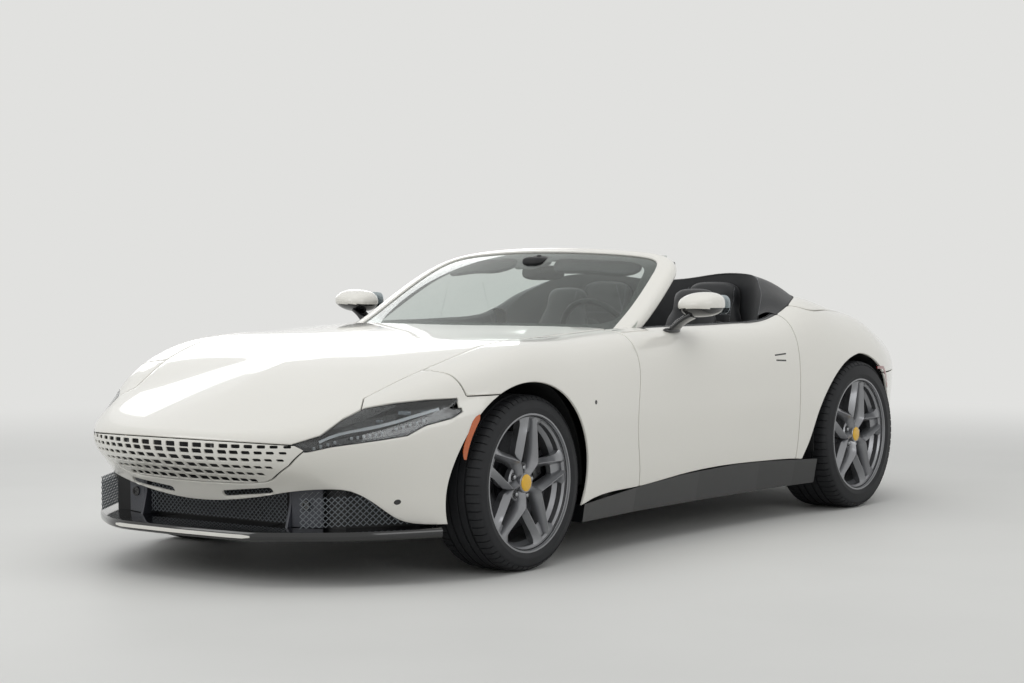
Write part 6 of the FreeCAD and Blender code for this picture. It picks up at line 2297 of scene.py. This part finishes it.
class BuildSteeringWheel(bpy.types.Operator):
    """Leather steering wheel with flat foot, three spokes, pad and paddles"""

    bl_idname = "convertible.steering_wheel"
    bl_label = "Steering wheel"

    def execute(self, context):
        path = [(x, max(y, WHEEL_FOOT), 0) for x, y in circle(WHEEL_RADIUS, WHEEL_RADIUS, 96)]
        angles = np.linspace(0, 2 * math.pi, 96, endpoint=False)
        grip = [1 + 0.16 * math.exp(-(((math.sin(a) - 0.35) / 0.25) ** 2)) for a in angles]
        rim = sweep(circle(0.0135, 0.0145, 14), path, [(0, 0, 1)] * 96, [(g, g) for g in grip], closed=True)
        right = [(0.03, -0.028), (0.165, -0.014), (0.168, 0.014), (0.03, 0.03)]
        left = [(-0.168, 0.014), (-0.165, -0.014), (-0.03, -0.028), (-0.03, 0.03)]
        foot = [(-0.03, -0.145), (0.03, -0.145), (0.035, -0.03), (-0.035, -0.03)]
        spokes = [flat_plate(right, -0.018, 0.014, 0.003), flat_plate(left, -0.018, 0.014, 0.003)]
        spokes.append(flat_plate(foot, -0.02, 0.012, 0.003))
        pad = pebble((0, -0.005, -0.008), (0.062, 0.058, 0.024), 3.2)
        column = lathe([(0, -0.18), (0.021, -0.18), (0.021, -0.03), (0, -0.03)], 32)
        column = (column[0][:, [0, 2, 1]], column[1])
        paddle_line = [(0.07, -0.01), (0.125, -0.02), (0.14, 0.05), (0.12, 0.08), (0.08, 0.06)]
        paddle = flat_plate(paddle_line, -0.04, 0.006, 0.0015)
        paddles = [paddle, (paddle[0] * [-1, 1, 1], [face[::-1] for face in paddle[1]])]
        for name, parts, coat, nodes in (
            ("steering_rim_leather", [rim], "grained_leather", ["steering_wheel"]),
            ("steering_pad", [pad, column], "grained_leather", []),
            ("steering_spokes", spokes, "gloss_black", []),
            ("steering_paddles", paddles, "satin_metal", []),
        ):
            data = in_wheel_plane(outward(merged(*parts)))
            make_piece(name, data, coat, "steering_wheel", "interior_leather", nodes)
        return {"FINISHED"}


# Small fittings and running gear


def patch_on_side(outline, height, wall, step=0.006):
    """Thin plate lying on the body's left side inside an (x, z) outline, its face raised by height."""
    return panel([inside(outline, SIDE), outboard(0.3)], step, wall, 0.0, 0.0, -height)[:2]


AMBER_MARKER = smooth([(1.596, 0.622), (1.615, 0.612), (1.648, 0.555), (1.668, 0.486), (1.662, 0.455)], 3)
AMBER_MARKER += smooth([(1.652, 0.452), (1.648, 0.487), (1.628, 0.55), (1.598, 0.602)], 3)
RED_MARKER = [(-1.548, 0.674), (-1.64, 0.672), (-1.682, 0.63), (-1.712, 0.56)]
RED_MARKER += [(-1.7, 0.56), (-1.662, 0.622), (-1.63, 0.658), (-1.548, 0.662)]
HANDLE_SLIT = [(-0.592, 0.7655), (-0.684, 0.7695), (-0.692, 0.7665)]
HANDLE_SLIT += [(-0.684, 0.7625), (-0.592, 0.7585), (-0.586, 0.762)]
HANDLE_RECESS = [(-0.600, 0.7425), (-0.68, 0.7385), (-0.686, 0.735)]
HANDLE_RECESS += [(-0.68, 0.7315), (-0.6, 0.7355), (-0.595, 0.739)]
DIFFUSER_FIN = [(-2.24, 0.158), (-1.93, 0.158), (-1.96, 0.215), (-2.28, 0.245), (-2.3, 0.2)]
FINS_Y = (0.12, 0.3, 0.66)
PIPE_MOUTH = -2.225
PIPE_WALL = [(0.0415, 0), (0.0415, 0.006), (0.040, 0.0085), (0.0375, 0.006)]
PIPE_WALL += [(0.036, -0.02), (0.036, -0.15), (0.0385, -0.15)]
PIPE_FLOOR = [(0, -0.1), (0.036, -0.1), (0.036, -0.105), (0, -0.105)]
BONNET_ARM = [(0.45, 0.85), (0.475, 0.848), (0.53, 0.852), (0.53, 0.893), (0.485, 0.893), (0.452, 0.872)]
BOOT_ARM = [(-1.592, 0.925), (-1.592, 0.757), (-1.8, 0.757), (-1.8, 0.92)]
BOOT_ARM += [(-1.782, 0.92), (-1.782, 0.775), (-1.61, 0.775), (-1.61, 0.925)]
DOOR_ARM = [
    (0.644, 0.925), (0.622, 0.925), (0.56, 0.79), (0.48, 0.79), (0.48, 0.77), (0.57, 0.77),
    (0.585, 0.78)
]
HEADER_CORNER = [(-0.2, 0.612, 1.168), (-0.232, 0.606, 1.174), (-0.262, 0.6, 1.176)]


class BuildFittings(bpy.types.Operator):
    """Side markers, handles, sensors, seals, hinge arms, liners and rear details"""

    bl_idname = "convertible.fittings"
    bl_label = "Fittings"

    def execute(self, context):
        for name, outline, coat, slot in (
            ("side_markers_front", AMBER_MARKER, "lamp_amber", "headlamp"),
            ("side_markers_rear", RED_MARKER, "lamp_red", "tail_lamp"),
        ):
            make_piece(name, two_sided(patch_on_side(outline, 0.0012, 0.004)), coat, "chassis", slot)
        slits = merged(*[patch_on_side(outline, 0.0004, 0.003) for outline in (HANDLE_SLIT, HANDLE_RECESS)])
        hinge_arm = outward(flat_plate(DOOR_ARM, 0.525, 0.09))
        for side, turn in SIDES:
            body = "door_" + side
            make_piece(body + "_handle_slit", turn(slits), "gloss_black", body, "black_trim")
            make_piece(body + "_hinge_arm", turn(hinge_arm), "pressed_liner", body, "black_trim")
        sensors = (((1.859, 0.304), 0.010), ((0.887, 0.629), 0.009))
        dots = [patch_on_side(circle(r, r, 16, place), 0.0006, 0.003, 0.003) for place, r in sensors]
        plate = slab(round_outline(0.56, 0.14, 0.02), (-2.3, 0, 0.62), (0, -1, 0), (0, 0, 1), 0.004, 0.001)
        fins = merged(*[side_plate(DIFFUSER_FIN, y, 0.008, 0.002) for y in FINS_Y])
        pipes = []
        for y, z in PIPES:
            for profile, sides in ((PIPE_WALL, 48), (PIPE_FLOOR, 32)):
                pipes.append(along_x(lathe(profile, sides), [-1, 1, 1], [PIPE_MOUTH, y, z]))
        bonnet_arm = side_plate(BONNET_ARM, 0.68, 0.01, 0.001)
        boot_arm = side_plate(BOOT_ARM, 0.458, 0.016)
        caps = sweep(round_outline(0.03, 0.022, 0.008, 3), HEADER_CORNER, [(0, 0, 1)] * 3)
        tips, steel = two_sided(merged(*pipes)), "exhaust_steel"
        for name, data, coat, body, slot, nodes in (
            ("side_sensors", two_sided(merged(*dots)), "gloss_black", "chassis", "black_trim", []),
            ("plate_panel", plate, "gloss_black", "chassis", "black_trim", []),
            ("diffuser_fins", two_sided(fins), "gloss_black", "chassis", "black_trim", []),
            ("exhaust_pipes", tips, steel, "chassis", steel, ["exhaust_tips"]),
            ("bonnet_arms", two_sided(bonnet_arm), "pressed_liner", "bonnet", "black_trim", []),
            ("boot_arms", two_sided(boot_arm), "pressed_liner", "boot_lid", "black_trim", []),
            ("header_corner_seals", two_sided(caps), "grained_plastic", "chassis", "black_trim", []),
        ):
            make_piece(name, data, coat, body, slot, nodes)
        regions = body_regions()
        for name in ("bonnet", "boot_lid"):
            liner = panel(regions[name], 0.03, 0.006, 0.0, 0.025, 0.0115)
            make_piece(name + "_liner", whole(liner), "pressed_liner", name, "black_trim")
        return {"FINISHED"}


CAD_FINISHES = {
    "cowl": "grained_plastic",
    "side_skirts": "satin_black",
    "diffuser": "satin_black",
    "floor_pan": "pressed_liner",
    "arch_liners": "moulded_felt",
    "engine_block": "cast_alloy",
    "front_subframe": "cast_alloy",
    "rear_subframe": "cast_alloy",
    "knuckle_left": "cast_alloy",
    "knuckle_right": "cast_alloy",
    "rear_uprights": "cast_alloy",
}


class DressFrame(bpy.types.Operator):
    """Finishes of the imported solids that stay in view"""

    bl_idname = "convertible.frame_finishes"
    bl_label = "Running gear finishes"

    def execute(self, context):
        for node, coat in CAD_FINISHES.items():
            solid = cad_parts[node]
            if not solid.material_slots:
                solid.data.materials.append(finish(coat))
            for place in solid.material_slots:
                place.material = finish(coat)
        return {"FINISHED"}


# Camera and studio

CAMERA_PLACE = (7.982, 5.758, 1.190)
CAMERA_YAW = 216.29
CAMERA_PITCH = -2.13
CAMERA_ROLL = -0.13
CAMERA_LENS = 75.67
SENSOR = 36.0
FLOOR_HALF = 30.0
AMBIENT = "#D9DADB"
#   name, place, target, extent, power in watts
LAMPS = (
    ("overhead", (0.5, 0.5, 5.5), (0, 0, 0.5), (9.0, 5.0), 150),
    ("front_side", (6.5, -2.5, 3.5), (0.5, 0, 0.6), (4.0, 2.5), 70),
    ("near_side", (2.0, 8.0, 3.2), (0, 0, 0.6), (6.0, 2.5), 75),
    ("far_side", (-5.0, -6.5, 3.5), (0, 0, 0.6), (5.0, 2.5), 60),
)


class BuildStudio(bpy.types.Operator):
    """Floor, lights and the camera at the photograph's angle"""

    bl_idname = "convertible.studio"
    bl_label = "Studio"

    def execute(self, context):
        scene = context.scene
        yaw, pitch, roll = (math.radians(a) for a in (CAMERA_YAW, CAMERA_PITCH, CAMERA_ROLL))
        look = Vector((math.cos(pitch) * math.cos(yaw), math.cos(pitch) * math.sin(yaw), math.sin(pitch)))
        right = look.cross(Vector((0, 0, 1))).normalized()
        up = right.cross(look)
        tilted_right = right * math.cos(roll) + up * math.sin(roll)
        tilted_up = up * math.cos(roll) - right * math.sin(roll)
        data = bpy.data.cameras.new("camera")
        data.lens = CAMERA_LENS
        data.sensor_width = SENSOR
        camera = new_object("camera", data)
        turn = Matrix((tilted_right, tilted_up, -look)).transposed().to_4x4()
        camera.matrix_world = Matrix.Translation(CAMERA_PLACE) @ turn
        scene.camera = camera
        corners = box_outline((-FLOOR_HALF, -FLOOR_HALF), (FLOOR_HALF, FLOOR_HALF))
        floor = new_object("floor", new_mesh("floor", [(x, y, 0) for x, y in corners], [(0, 1, 2, 3)]))
        floor.data.materials.append(finish("studio_floor"))
        floor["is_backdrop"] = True
        for name, place, target, extent, power in LAMPS:
            light = bpy.data.lights.new(name, "AREA")
            light.shape = "RECTANGLE"
            light.size, light.size_y = extent
            light.energy = power
            lamp = new_object(name, light)
            lamp.location = place
            lamp.rotation_euler = (Vector(target) - Vector(place)).to_track_quat("-Z", "Y").to_euler()
            lamp.visible_glossy = name != "overhead"
        scene.world = bpy.data.worlds.new("studio")
        scene.world.use_nodes = True
        tree = scene.world.node_tree
        tree.nodes.clear()
        direct = seen_directly(tree)
        inputs = {0: direct}
        for place, (colour, strength) in enumerate(((AMBIENT, 0.75), (BACKDROP, 1.0)), 1):
            light = add_node(
                tree, "ShaderNodeBackground", inputs={"Color": to_linear(colour), "Strength": strength}
            )
            inputs[place] = light.outputs[0]
        mix = add_node(tree, "ShaderNodeMixShader", inputs=inputs)
        add_node(tree, "ShaderNodeOutputWorld", inputs={"Surface": mix.outputs[0]})
        scene.view_settings.view_transform = "Standard"
        return {"FINISHED"}


OPERATORS = [
    BuildStudio,
    BuildBody,
    BuildGrille,
    BuildWindscreen,
    BuildMirrors,
    BuildWheels,
    BuildLamps,
    BuildLowerTrim,
    BuildSeats,
    BuildCabin,
    BuildSteeringWheel,
    BuildFittings,
    DressFrame,
]
CLASSES = [ConvertibleSizes, ConvertibleColours] + OPERATORS


class ConvertiblePanel(bpy.types.Panel):
    """Steps and settings of the convertible"""

    bl_idname = "VIEW3D_PT_convertible"
    bl_label = "Convertible"
    bl_space_type = "VIEW_3D"
    bl_region_type = "UI"
    bl_category = "Convertible"

    def draw(self, context):
        for operator in OPERATORS:
            self.layout.operator(operator.bl_idname)
        for settings in (context.scene.convertible_sizes, context.scene.convertible_colours):
            for key in settings.__annotations__:
                self.layout.prop(settings, key)


def register():
    for item in CLASSES + [ConvertiblePanel]:
        bpy.utils.register_class(item)
    bpy.types.Scene.convertible_sizes = bpy.props.PointerProperty(type=ConvertibleSizes)
    bpy.types.Scene.convertible_colours = bpy.props.PointerProperty(type=ConvertibleColours)


def unregister():
    del bpy.types.Scene.convertible_colours
    del bpy.types.Scene.convertible_sizes
    for item in reversed(CLASSES + [ConvertiblePanel]):
        bpy.utils.unregister_class(item)


def main():
    register()
    for operator in OPERATORS:
        group, name = operator.bl_idname.split(".")
        getattr(getattr(bpy.ops, group), name)()
    boxes = {"cad": CAD_BOX, "visual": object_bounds()}
    {key: [list(corner) for corner in box] for key, box in boxes.items()}


if __name__ == "__main__":
    main()
